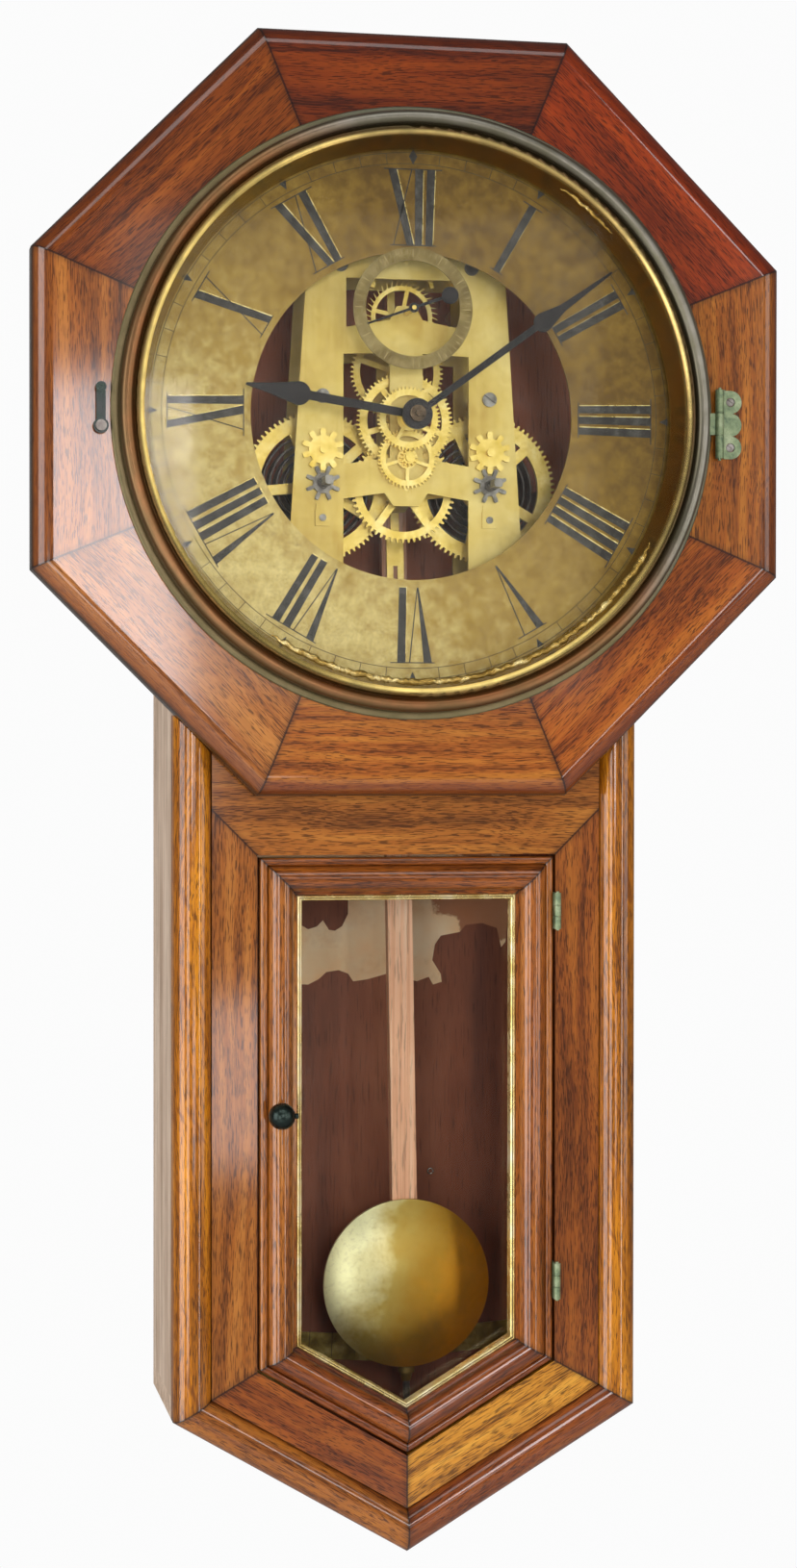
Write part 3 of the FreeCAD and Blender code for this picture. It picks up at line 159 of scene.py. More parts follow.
class Paint:
    """One material. Each call adds a node and gives its output socket."""

    def __init__(self, name):
        self.material = bpy.data.materials.new(name)
        self.material.use_nodes = True
        self.tree = self.material.node_tree
        self.tree.nodes.clear()
        self.coordinates = self.node("TexCoord").outputs["Object"]

    def node(self, kind, **settings):
        node = self.tree.nodes.new("ShaderNode" + kind)
        for key, value in settings.items():
            setattr(node, key, value)
        return node

    def put(self, socket, value):
        if isinstance(value, bpy.types.NodeSocket):
            self.tree.links.new(value, socket)
        else:
            socket.default_value = value

    def math(self, operation, *values, clamp=False):
        node = self.node("Math", operation=operation, use_clamp=clamp)
        for socket, value in zip(node.inputs, values):
            self.put(socket, value)
        return node.outputs[0]

    def vector(self, operation, *values):
        node = self.node("VectorMath", operation=operation)
        for socket, value in zip(node.inputs, values):
            self.put(socket, value)
        return node.outputs[1] if operation in ("LENGTH", "DOT_PRODUCT", "DISTANCE") else node.outputs[0]

    def split(self, vector):
        node = self.node("SeparateXYZ")
        self.put(node.inputs[0], vector)
        return node.outputs

    def join(self, x, y, z):
        node = self.node("CombineXYZ")
        for socket, value in zip(node.inputs, (x, y, z)):
            self.put(socket, value)
        return node.outputs[0]

    def place(self, turn=0.0, centre=(0, 0, 0)):
        """Object coordinates from centre, turned about Y so that a line at that angle runs along X."""
        moved = self.vector("SUBTRACT", self.coordinates, tuple(centre))
        node = self.node("Mapping")
        node.inputs["Rotation"].default_value = (0, math.radians(turn), 0)
        self.put(node.inputs["Vector"], moved)
        return node.outputs[0]

    def noise(self, vector, scale, detail=2.0, rough=0.5, warp=0.0):
        """scale is one number, or one for each axis, in waves per metre."""
        if isinstance(scale, tuple):
            vector, scale = self.vector("MULTIPLY", vector, scale), 1.0
        node = self.node("TexNoise")
        self.put(node.inputs["Vector"], vector)
        node.inputs["Scale"].default_value = scale
        node.inputs["Detail"].default_value = detail
        node.inputs["Roughness"].default_value = rough
        node.inputs["Distortion"].default_value = warp
        return node.outputs["Fac"]

    def span(self, value, start, end, low=0.0, high=1.0, smooth=False):
        node = self.node("MapRange", interpolation_type="SMOOTHSTEP" if smooth else "LINEAR")
        for socket, number in zip(node.inputs, (value, start, end, low, high)):
            self.put(socket, number)
        return node.outputs[0]

    def ramp(self, factor, *stops):
        node = self.node("ValToRGB")
        band = node.color_ramp
        while len(band.elements) < len(stops):
            band.elements.new(0.5)
        for element, (position, colour) in zip(band.elements, stops):
            element.position = position
            element.color = rgb(colour)
        self.put(node.inputs[0], factor)
        return node.outputs[0]

    def mix(self, factor, first, second, blend="MIX"):
        node = self.node("Mix", data_type="RGBA", blend_type=blend)
        self.put(node.inputs[0], factor)
        self.put(node.inputs[6], first)
        self.put(node.inputs[7], second)
        return node.outputs[2]

    def bump(self, height, depth, normal=None, strength=1.0):
        node = self.node("Bump")
        node.inputs["Strength"].default_value = strength
        node.inputs["Distance"].default_value = depth
        self.put(node.inputs["Height"], height)
        if normal is not None:
            self.put(node.inputs["Normal"], normal)
        return node.outputs[0]

    def done(self, colour, roughness, normal=None, metal=0.0, **constants):
        """Ends the material. constants are Principled sockets by name, with _ for each space."""
        shader = self.node("BsdfPrincipled")
        self.put(shader.inputs["Base Color"], colour)
        self.put(shader.inputs["Roughness"], roughness)
        self.put(shader.inputs["Metallic"], metal)
        if normal is not None:
            self.put(shader.inputs["Normal"], normal)
        for key, value in constants.items():
            shader.inputs[key.replace("_", " ")].default_value = value
        output = self.node("OutputMaterial")
        self.tree.links.new(shader.outputs[0], output.inputs["Surface"])
        return self.material


# ---------------------------------------------------------------- wood


def line_gap(paint, line):
    """Distance in the XZ plane from a line (x, z, angle), with X taken as its size on both sides."""
    x, z, angle = line
    across = (math.sin(math.radians(angle)), 0.0, -math.cos(math.radians(angle)))
    px, _, pz = paint.split(paint.coordinates)
    mirrored = paint.join(paint.math("ABSOLUTE", px), 0.0, pz)
    offset = across[0] * x + across[2] * z
    along = paint.vector("DOT_PRODUCT", mirrored, across)
    return paint.math("ABSOLUTE", paint.math("SUBTRACT", along, offset))


def inset(paint):
    """How far a point lies inside the trunk's outline, measured square to its nearest side."""
    px, _, pz = paint.split(paint.coordinates)
    wide = paint.math("ABSOLUTE", px)
    side = paint.math("SUBTRACT", TRUNK_HALF, wide)
    rise = paint.math("SUBTRACT", pz, APEX)
    toe = paint.math("SUBTRACT", rise, paint.math("MULTIPLY", wide, TOE_SLOPE))
    toe = paint.math("MULTIPLY", toe, math.cos(math.atan(TOE_SLOPE)))
    top = paint.math("SUBTRACT", DOOR_HIGH.z + TRUNK_HALF - DOOR_HIGH.x, pz)
    return paint.math("MINIMUM", side, toe), top


# Bands of the octagon's boards, measured across from the dial's centre, where painted shade darkens the rounded
# edge and a painted shadow darkens the outer side.
ROUND_SHADE_BAND = (HEAD_HALF - 15 * MM, HEAD_HALF - 3 * MM)
SIDE_SHADOW_BAND = (HEAD_HALF - 1.8 * MM, HEAD_HALF - 0.4 * MM)
OAK_PORES = 0.7
VARNISH = 0.6
MITRE_GAP = 0.55 * MM
HEAD_MITRE_GAP = 0.6 * MM


def oak(name, turn, tones, seed, lines=(), insets=(), fleck=0.0, mitre=False):
    """Varnished oak with its grain at that angle.

    tones run from dark to light. lines are mitres as (x, z, angle), insets are joints as (depth, width).
    """
    paint = Paint(name)
    where = paint.place(turn, DIAL)
    shifted = paint.vector("ADD", where, (seed * 1.37, seed * 0.71, seed * 0.53))
    sway = paint.noise(shifted, (5.0, 14.0, 14.0), 2.0)
    wave = paint.join(0.0, paint.math("MULTIPLY", sway, 0.02), paint.math("MULTIPLY", sway, 0.02))
    grain = paint.vector("ADD", shifted, wave)
    bands = paint.noise(grain, (5.0, 150.0, 150.0), 3.0, 0.6)
    colour = paint.ramp(bands, (0.32, tones[0]), (0.5, tones[1]), (0.68, tones[2]))
    blotch = paint.noise(shifted, (16.0, 42.0, 42.0), 3.0, 0.6, 0.4)
    darker = paint.mix(0.55, colour, rgb(tones[0]))
    colour = paint.mix(paint.span(blotch, 0.42, 0.72, 0.0, 0.75), colour, darker)
    fibre = paint.noise(grain, (45.0, 1300.0, 1300.0), 2.0, 0.6)
    colour = paint.mix(paint.span(fibre, 0.35, 0.7, 0.0, 0.35), colour, rgb(tones[2]))
    pore = paint.noise(grain, (125.0, 2200.0, 2200.0), 1.0, 0.5)
    dense = paint.span(bands, 0.35, 0.62, 0.045, -0.03)
    pit = paint.span(paint.math("ADD", pore, dense), 0.53, 0.6)
    colour = paint.mix(paint.math("MULTIPLY", pit, OAK_PORES), colour, rgb("#2A1006"))
    if fleck:
        ray = paint.noise(paint.place(turn + 24, DIAL), (26.0, 260.0, 260.0), 1.0, 0.4, 0.3)
        colour = paint.mix(paint.span(ray, 0.62, 0.7, 0.0, fleck), colour, rgb(tones[0]))
    colour = paint.mix(1.0, colour, rgb("#FFFAD2"), "MULTIPLY")
    gaps = [(line_gap(paint, line), MITRE_GAP) for line in lines]
    if insets:
        near, _ = inset(paint)
        for depth, width in insets:
            gaps.append((paint.math("ABSOLUTE", paint.math("SUBTRACT", near, depth)), width))
    if mitre:
        along, _, out = paint.split(where)
        reach = paint.math("MULTIPLY", paint.math("ABSOLUTE", out), math.sin(math.radians(22.5)))
        width = paint.math("MULTIPLY", paint.math("ABSOLUTE", along), math.cos(math.radians(22.5)))
        gaps.append((paint.math("SUBTRACT", reach, width), HEAD_MITRE_GAP))
        wide = paint.math("ABSOLUTE", out)
        # Painted shade darkens the rounded edge towards the rim, and a painted shadow turns the outer side near
        # black.
        colour = paint.mix(paint.span(wide, *ROUND_SHADE_BAND, 0.0, 0.6, smooth=True), colour, rgb(tones[0]))
        colour = paint.mix(paint.span(wide, *SIDE_SHADOW_BAND, 0.0, 0.85), colour, rgb("#12140E"))
    # Each joint is a dark line, with painted shade fading out on both sides of it into the crevice.
    for gap, width in gaps:
        soft = paint.span(gap, width * 0.6, width * 1.5, 1.0, 0.0)
        crevice_shade = paint.span(gap, 0.0, width * 7, 0.35, 0.0, smooth=True)
        joint_and_shade = paint.math("MAXIMUM", paint.math("MULTIPLY", soft, 0.85), crevice_shade)
        colour = paint.mix(joint_and_shade, colour, rgb("#1B0D08"))
    swell = paint.noise(shifted, 32.0, 2.0)
    normal = paint.bump(swell, 0.0006, strength=0.35)
    normal = paint.bump(paint.math("SUBTRACT", 1.0, pit), 0.00012, normal, 0.5)
    rough = paint.span(blotch, 0.3, 0.7, 0.36, 0.5)
    return paint.done(
        colour, rough, normal, Coat_Weight=VARNISH, Coat_Roughness=0.09, Coat_IOR=1.75, Specular_IOR_Level=0.1
    )


def plain_wood(name, turn, tones, seed, streak=90.0, coat=0.0, rough=0.62, pores=0.3, lit_tone=None):
    """Unvarnished or dull board; its front face can be painted a brighter tone from just below the dial's
    centre upwards, as painted light in the shade behind the movement.
    """
    paint = Paint(name)
    where = paint.vector("ADD", paint.place(turn), (seed, seed * 0.6, seed * 0.3))
    bands = paint.noise(where, (4.0, streak, streak), 4.0, 0.6)
    colour = paint.ramp(bands, (0.3, tones[0]), (0.5, tones[1]), (0.7, tones[2]))
    cloud = paint.noise(where, (14.0, 30.0, 30.0), 4.0, 0.6)
    colour = paint.mix(paint.span(cloud, 0.4, 0.75, 0.0, 0.6), colour, rgb(tones[0]))
    # Painted light: the front face is painted a brighter tone from just below the dial's centre upwards,
    # lifting the shade behind the movement.
    if lit_tone:
        _, out, height = paint.split(paint.coordinates)
        painted_light_area = paint.span(height, DIAL.z - 0.11, DIAL.z - 0.08, 0.0, 0.75)
        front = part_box("backboard")[0].y
        face_only = paint.span(out, front + 1 * MM, front + 2 * MM, 1.0, 0.0)
        colour = paint.mix(paint.math("MULTIPLY", painted_light_area, face_only), colour, rgb(lit_tone))
    pore = paint.noise(where, (60.0, 900.0, 900.0), 2.0)
    pit = paint.span(pore, 0.57, 0.66)
    colour = paint.mix(paint.math("MULTIPLY", pit, pores), colour, rgb("#2A140C"))
    normal = paint.bump(pore, 0.0002, strength=0.4)
    sheen = paint.span(cloud, 0.3, 0.7, rough - 0.08, rough + 0.1)
    return paint.done(colour, sheen, normal, Coat_Weight=coat, Coat_Roughness=0.2)


# ---------------------------------------------------------------- metal, glass and paper


def mottled(name, tones, size, metal, rough, brush=None, spots=0.3, spot="#3A2A14", bumps=0.08 * MM):
    """Worn metal: three tones in clouds, fine speckle, darker spots and, with brush, marks along one axis."""
    paint = Paint(name)
    where = paint.coordinates
    cloud = paint.noise(where, size, 5.0, 0.6, 0.3)
    colour = paint.ramp(cloud, (0.34, tones[0]), (0.5, tones[1]), (0.66, tones[2]))
    grit = paint.noise(where, size * 9, 3.0, 0.65)
    colour = paint.mix(paint.span(grit, 0.4, 0.75, 0.0, 0.35), colour, rgb(tones[0]))
    stain = paint.noise(where, size * 2.3, 4.0, 0.7)
    colour = paint.mix(paint.span(stain, 0.6, 0.75, 0.0, spots), colour, rgb(spot))
    height = grit
    if brush:
        marks = paint.noise(where, brush, 3.0, 0.6)
        colour = paint.mix(paint.span(marks, 0.35, 0.7, 0.0, 0.3), colour, rgb(tones[2]))
        height = marks
    normal = paint.bump(height, bumps, strength=0.5)
    return paint.done(colour, paint.span(cloud, 0.3, 0.7, *rough), normal, metal)


BEZEL_BAND = (140 * MM, 164 * MM)


def bezel_metal():
    """Turned brass ring from inner cone to outer flange, in rings of colour with painted bright highlight
    lines; its copper-brown lower left and greyer upper right are painted reflections.
    """
    paint = Paint("bezel_turned")
    px, _, pz = paint.split(paint.vector("SUBTRACT", paint.coordinates, tuple(DIAL)))
    radius = paint.vector("LENGTH", paint.join(px, 0.0, pz))
    zone = paint.span(radius, *BEZEL_BAND)
    # Both ramps paint the turned rings, with bright lines at the step as painted highlights.
    copper = paint.ramp(
        zone, (0.02, "#A08446"), (0.24, "#B0924A"), (0.31, "#D8BE70"), (0.38, "#5E4418"), (0.46, "#563614"),
        (0.54, "#7A4A26"), (0.66, "#8E6642"), (0.77, "#4E3E24"), (0.84, "#7A6C4C"), (0.97, "#6A6446"),
    )
    grey = paint.ramp(
        zone, (0.02, "#C8A858"), (0.08, "#8A5E1C"), (0.24, "#7A4E14"), (0.31, "#E8CC80"), (0.36, "#4A3210"),
        (0.46, "#3E3424"), (0.56, "#6A6658"), (0.66, "#8E8A80"), (0.77, "#5A5848"), (0.97, "#6A6A58"),
    )
    # This mask paints a copper-brown reflection on the lower left and a greyer one on the upper right.
    side = paint.math("ADD", px, paint.math("MULTIPLY", pz, 0.8))
    colour = paint.mix(paint.span(side, 0.01, 0.1, smooth=True), copper, grey)
    cloud = paint.noise(paint.coordinates, 60.0, 5.0, 0.6)
    colour = paint.mix(paint.span(cloud, 0.4, 0.75, 0.0, 0.55), colour, rgb("#4E4A2C"))
    spin = paint.math("ADD", paint.math("MULTIPLY", radius, 2600.0), paint.math("MULTIPLY", cloud, 3.0))
    rings = paint.math("SINE", spin)
    normal = paint.bump(rings, 0.00003, strength=0.4)
    normal = paint.bump(cloud, 0.0003, normal, 0.3)
    rough = paint.span(zone, 0.3, 0.9, 0.22, 0.42)
    return paint.done(colour, rough, normal, 0.75)


def dial_metal():
    """Old lacquered brass in fine brown mottles, with painted light making it lighter towards its lower left.
    """
    paint = Paint("dial_tarnish")
    where = paint.coordinates
    px, _, pz = paint.split(paint.vector("SUBTRACT", where, tuple(DIAL)))
    light_slant = paint.math("ADD", px, pz)
    cloud = paint.noise(where, 135.0, 3.0, 0.55, 0.2)
    broad = paint.noise(where, 18.0, 3.0, 0.5)
    fine = paint.span(cloud, 0.34, 0.66, -0.13, 0.13)
    tone = paint.math("ADD", fine, paint.span(broad, 0.35, 0.65, -0.08, 0.08))
    # Painted light: lighter towards the lower left.
    tone = paint.math("ADD", tone, paint.span(light_slant, 0.1, -0.15, 0.14, 0.84), clamp=True)
    colour = paint.ramp(tone, (0.0, "#664A16"), (0.3, "#8C6C26"), (0.6, "#AC8C40"), (1.0, "#E0CA86"))
    grit = paint.noise(where, 700.0, 3.0, 0.65)
    colour = paint.mix(paint.span(grit, 0.4, 0.75, 0.0, 0.3), colour, rgb("#6A4C20"))
    stain = paint.noise(where, 150.0, 4.0, 0.7)
    colour = paint.mix(paint.span(stain, 0.6, 0.72, 0.0, 0.35), colour, rgb("#5E421C"))
    normal = paint.bump(grit, 0.00006, strength=0.5)
    return paint.done(colour, paint.span(cloud, 0.3, 0.7, 0.38, 0.5), normal, 0.4)


def bob_metal():
    """Satin brass with painted light: a pale painted highlight on its upper left, through warm brown to a
    brighter orange painted on its lower right rim to lift the shade there.
    """
    paint = Paint("bob_satin")
    low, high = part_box("pendulum_bob")
    px, _, pz = paint.split(paint.coordinates)
    light_slant = paint.math("ADD", px, paint.math("MULTIPLY", pz, -0.35))
    middle = (low.x + high.x) / 2 - 0.35 * (low.z + high.z) / 2
    cloud = paint.noise(paint.coordinates, 38.0, 4.0, 0.6, 0.3)
    tone = paint.span(light_slant, middle - 0.045, middle + 0.045, 0.0, 1.0)
    tone = paint.math("ADD", tone, paint.span(cloud, 0.3, 0.7, -0.12, 0.12), clamp=True)
    # Painted highlight at the upper left, painted light lifting the lower right.
    colour = paint.ramp(tone, (0.08, "#F4ECBC"), (0.35, "#B69A4E"), (0.62, "#B08228"), (0.95, "#F09C1C"))
    grit = paint.noise(paint.coordinates, 420.0, 3.0, 0.65)
    colour = paint.mix(paint.span(grit, 0.5, 0.75, 0.0, 0.25), colour, rgb("#7A5A1E"))
    normal = paint.bump(grit, 0.00005, strength=0.5)
    return paint.done(colour, paint.span(cloud, 0.3, 0.7, 0.36, 0.48), normal, 0.8)


def bead_gilt():
    """Gilded bead: a dark line in a shallow groove between two bright bands, rubbed through in places."""
    paint = Paint("bead_gilding")
    near, top = inset(paint)
    depth = paint.math("MINIMUM", near, top)
    start = TRUNK_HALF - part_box("door_bead")[1].x
    groove = paint.math("ABSOLUTE", paint.math("SUBTRACT", depth, start + 0.0017))
    line = paint.span(groove, 0.0002, 0.0005, 0.85, 0.0)
    cloud = paint.noise(paint.coordinates, 60.0, 4.0, 0.6)
    colour = paint.ramp(cloud, (0.35, "#CCAE64"), (0.5, "#F0DC98"), (0.68, "#FFF4CC"))
    worn = paint.span(paint.noise(paint.coordinates, 130.0, 4.0, 0.7), 0.6, 0.7, 0.0, 0.75)
    colour = paint.mix(paint.math("MAXIMUM", worn, line), colour, rgb("#46280E"))
    normal = paint.bump(paint.math("SUBTRACT", 1.0, line), 0.0003, strength=0.6)
    return paint.done(colour, paint.span(cloud, 0.3, 0.7, 0.22, 0.34), normal, 0.75)


def glass(name):
    """Old window glass: clear to look through, a sheen by angle, faint waves and dust."""
    paint = Paint(name)
    wave = paint.noise(paint.coordinates, 9.0, 2.0)
    dust = paint.noise(paint.coordinates, 60.0, 5.0, 0.7)
    normal = paint.bump(wave, 0.0006, strength=0.3)
    clear = paint.node("BsdfTransparent")
    clear.inputs["Color"].default_value = (0.95, 0.965, 0.95, 1)
    gloss = paint.node("BsdfGlossy")
    gloss.inputs["Color"].default_value = (1, 1, 1, 1)
    gloss.inputs["Roughness"].default_value = 0.05
    paint.put(gloss.inputs["Normal"], normal)
    facing = paint.node("LayerWeight")
    facing.inputs["Blend"].default_value = 0.5
    grazing = paint.math("POWER", facing.outputs["Facing"], 5.0)
    share = paint.math("ADD", paint.math("MULTIPLY", grazing, 0.9), paint.span(dust, 0.3, 0.9, 0.004, 0.018))
    blend = paint.node("MixShader")
    paint.put(blend.inputs[0], share)
    paint.tree.links.new(clear.outputs[0], blend.inputs[1])
    paint.tree.links.new(gloss.outputs[0], blend.inputs[2])
    output = paint.node("OutputMaterial")
    paint.tree.links.new(blend.outputs[0], output.inputs["Surface"])
    return paint.material


def old_paper():
    paint = Paint("old_paper")
    cloud = paint.noise(paint.coordinates, 30.0, 5.0, 0.6)
    colour = paint.ramp(cloud, (0.3, "#FFCC98"), (0.5, "#FFDCB2"), (0.72, "#FFEACC"))
    stain = paint.noise(paint.coordinates, 75.0, 4.0, 0.7)
    colour = paint.mix(paint.span(stain, 0.55, 0.75, 0.0, 0.3), colour, rgb("#C8905E"))
    px, _, pz = paint.split(paint.vector("SUBTRACT", paint.coordinates, tuple(DIAL)))
    ragged = paint.math("MULTIPLY", paint.math("SUBTRACT", cloud, 0.5), 0.07)
    rubbed = 0.0
    for x, z, radius in ((0.037, -0.253, 0.018), (0.075, -0.262, 0.026), (0.058, -0.25, 0.016)):
        gap = paint.vector("DISTANCE", paint.join(px, 0.0, pz), (x, 0.0, z))
        gap = paint.math("ADD", gap, ragged)
        rubbed = paint.math("MAXIMUM", rubbed, paint.span(gap, radius, radius - 0.003, 0.0, 0.85))
    colour = paint.mix(rubbed, colour, rgb("#A05A3A"))
    crease = paint.noise(paint.coordinates, (20.0, 20.0, 160.0), 3.0)
    normal = paint.bump(crease, 0.0004, strength=0.4)
    return paint.done(colour, 0.85, normal)


# ---------------------------------------------------------------- finishes on the CAD nodes


def dress(name, *materials):
    slots = NODES[name].data.materials
    slots.clear()
    for material in materials:
        slots.append(material)


def dress_by_board(name, boards, choose):
    """Gives each face of a node of several boards the material of its own board."""
    mesh = NODES[name].data
    dress(name, *boards)
    mesh.polygons.foreach_set("material_index", [choose(face.center) for face in mesh.polygons])


# Each head board's grain angle and tones, dark to light: partly the board's own colour and partly painted
# light, darker on the top boards and lighter on the low left ones.
HEAD_TONES = {
    "top": (0, ("#44160A", "#6C280B", "#883C12")),
    "top_right": (-45, ("#5A1C0A", "#8A2F0C", "#A84414")),
    "right": (90, ("#6A3212", "#99541E", "#B87430")),
    "low_right": (45, ("#6A2C0E", "#9A4C18", "#B86A28")),
    "bottom": (0, ("#6E3212", "#A0561F", "#C07A34")),
    "low_left": (-45, ("#7A4220", "#A5622E", "#C08048")),
    "left": (90, ("#6C3616", "#9A5624", "#B87438")),
    "top_left": (45, ("#4E200C", "#7C3A12", "#98521C")),
}
GOLD = ("#70390A", "#AE660C", "#D88E20")
TOP_MITRE = (DOOR_HIGH.x, DOOR_HIGH.z, 45)
CORNER_Z = APEX + TRUNK_HALF * TOE_SLOPE
TOE_MITRE_ANGLE = (90 - TOE_ANGLE) / 2
TOE_MITRE = (TRUNK_HALF, CORNER_Z, 180 - TOE_MITRE_ANGLE)
CENTRE_MITRE = (0, 0, 90)
STILE_MITRES = [TOP_MITRE, TOE_MITRE]
TOE_MITRES = [TOE_MITRE, CENTRE_MITRE]
MOULDING_WIDE = 23.8 * MM
JOINT = 0.6 * MM
TOE_JOINT = 0.8 * MM


def dress_wood():
    for number, (side, (turn, tones)) in enumerate(HEAD_TONES.items()):
        dress(f"octagon_board_{side}", oak(f"oak_head_{side}", turn, tones, number + 1, mitre=True))
    for number, side in enumerate(("left", "right")):
        tilt = TOE_ANGLE if side == "right" else -TOE_ANGLE
        dress(
            f"trunk_moulding_{side}",
            oak(
                f"oak_trunk_{side}", 90, GOLD, 11 + number,
                fleck=0.55, lines=[TOE_MITRE], insets=[(MOULDING_WIDE, JOINT)],
            ),
        )
        toe_tones = ("#6A3214", "#9A5A24", "#B87434") if side == "left" else ("#4E1E0E", "#7A3A18", "#9A5424")
        dress(
            f"toe_moulding_{side}",
            oak(
                f"oak_toe_{side}", tilt, toe_tones, 13 + number,
                lines=TOE_MITRES, insets=[(MOULDING_WIDE, TOE_JOINT)],
            ),
        )
    stile = {"lines": STILE_MITRES, "insets": [(TRUNK_HALF - DOOR_HIGH.x, JOINT)]}
    flats = [
        oak("flat_rail", 0, ("#74401A", "#A05E26", "#B87838"), 21, lines=[TOP_MITRE]),
        oak("flat_stile_left", 90, ("#6E3A14", "#9A5820", "#B4743A"), 22, **stile),
        oak("flat_stile_right", 90, ("#5E2C12", "#8C4A1C", "#A8642A"), 23, **stile),
        oak("flat_toe_left", -TOE_ANGLE, ("#5C2810", "#8A4418", "#A45C22"), 24, lines=TOE_MITRES),
        oak("flat_toe_right", TOE_ANGLE, ("#8A5216", "#C8862C", "#DFA448"), 25, lines=TOE_MITRES),
    ]
    dress_by_board("flat_frame", flats, board_of)
    doors = [
        oak("door_rail", 0, ("#5E2C12", "#8E4C1C", "#A86228"), 31, lines=[TOP_MITRE]),
        oak("door_stile_left", 90, ("#6A3414", "#A05C24", "#C07E3C"), 32, lines=STILE_MITRES),
        oak("door_stile_right", 90, ("#64300F", "#9A5420", "#B46E32"), 33, lines=STILE_MITRES),
        oak("door_toe_left", -TOE_ANGLE, ("#56240E", "#84421A", "#9C5826"), 34, lines=TOE_MITRES),
        oak("door_toe_right", TOE_ANGLE, ("#4E200E", "#7C3C1A", "#965226"), 35, lines=TOE_MITRES),
    ]
    dress_by_board("door_frame", doors, board_of)
    pale = ("#A68A72", "#D4BAA2", "#E6D2BC")
    for name in ("side_board_left", "side_board_right"):
        dress(name, plain_wood("box_side", 90, pale, 3.1, coat=0.1))
    dress("top_board", plain_wood("box_top", 0, pale, 4.7))
    for name, turn in (("floor_board_left", -TOE_ANGLE), ("floor_board_right", TOE_ANGLE)):
        dress(name, plain_wood("box_floor", turn, pale, 5.3))
    back = plain_wood(
        "back_board", 90, ("#6E3A28", "#925034", "#A46244"), 7.9,
        streak=34.0, rough=0.6, pores=0.45, lit_tone="#DC7C50",
    )
    dress("backboard", back)
    stick = plain_wood(
        "rod_stick", 90, ("#D88E68", "#FFC29C", "#FFDCC0"), 9.3,
        streak=520.0, coat=0.15, rough=0.5, pores=0.35,
    )
    dress("pendulum_rod", stick)


def board_of(centre):
    """Board of a five-sided frame at a point: 0 is the rail, 1 and 2 the stiles, 3 and 4 the toes."""
    wide = abs(centre.x)
    if centre.z - DOOR_HIGH.z > wide - DOOR_HIGH.x:
        return 0
    drop = (centre.z - CORNER_Z) - (TRUNK_HALF - wide) * math.tan(math.radians(TOE_MITRE_ANGLE))
    pair = 1 if drop > 0 else 3
    return pair + (1 if centre.x > 0 else 0)


def dress_screws(steel, brass):
    """The stop-work bridges share a node with the screws, and they are brass like the plate."""
    mesh = NODES["screws"].data
    dress("screws", steel, brass)
    wheel_low, wheel_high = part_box("winding_arbor_left")
    side = abs(wheel_low.x + wheel_high.x) / 2
    level = (wheel_low.z + wheel_high.z) / 2
    bridge_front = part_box("front_plate")[0].y - 1.25 * MM
    bridge_half, bridge_low, bridge_high = 4.5 * MM, -28 * MM, -8 * MM

    def kind(centre):
        beside = abs(abs(centre.x) - side) < bridge_half
        below = bridge_low < centre.z - level < bridge_high
        return 1 if beside and below and centre.y > bridge_front else 0

    mesh.polygons.foreach_set("material_index", [kind(face.center) for face in mesh.polygons])


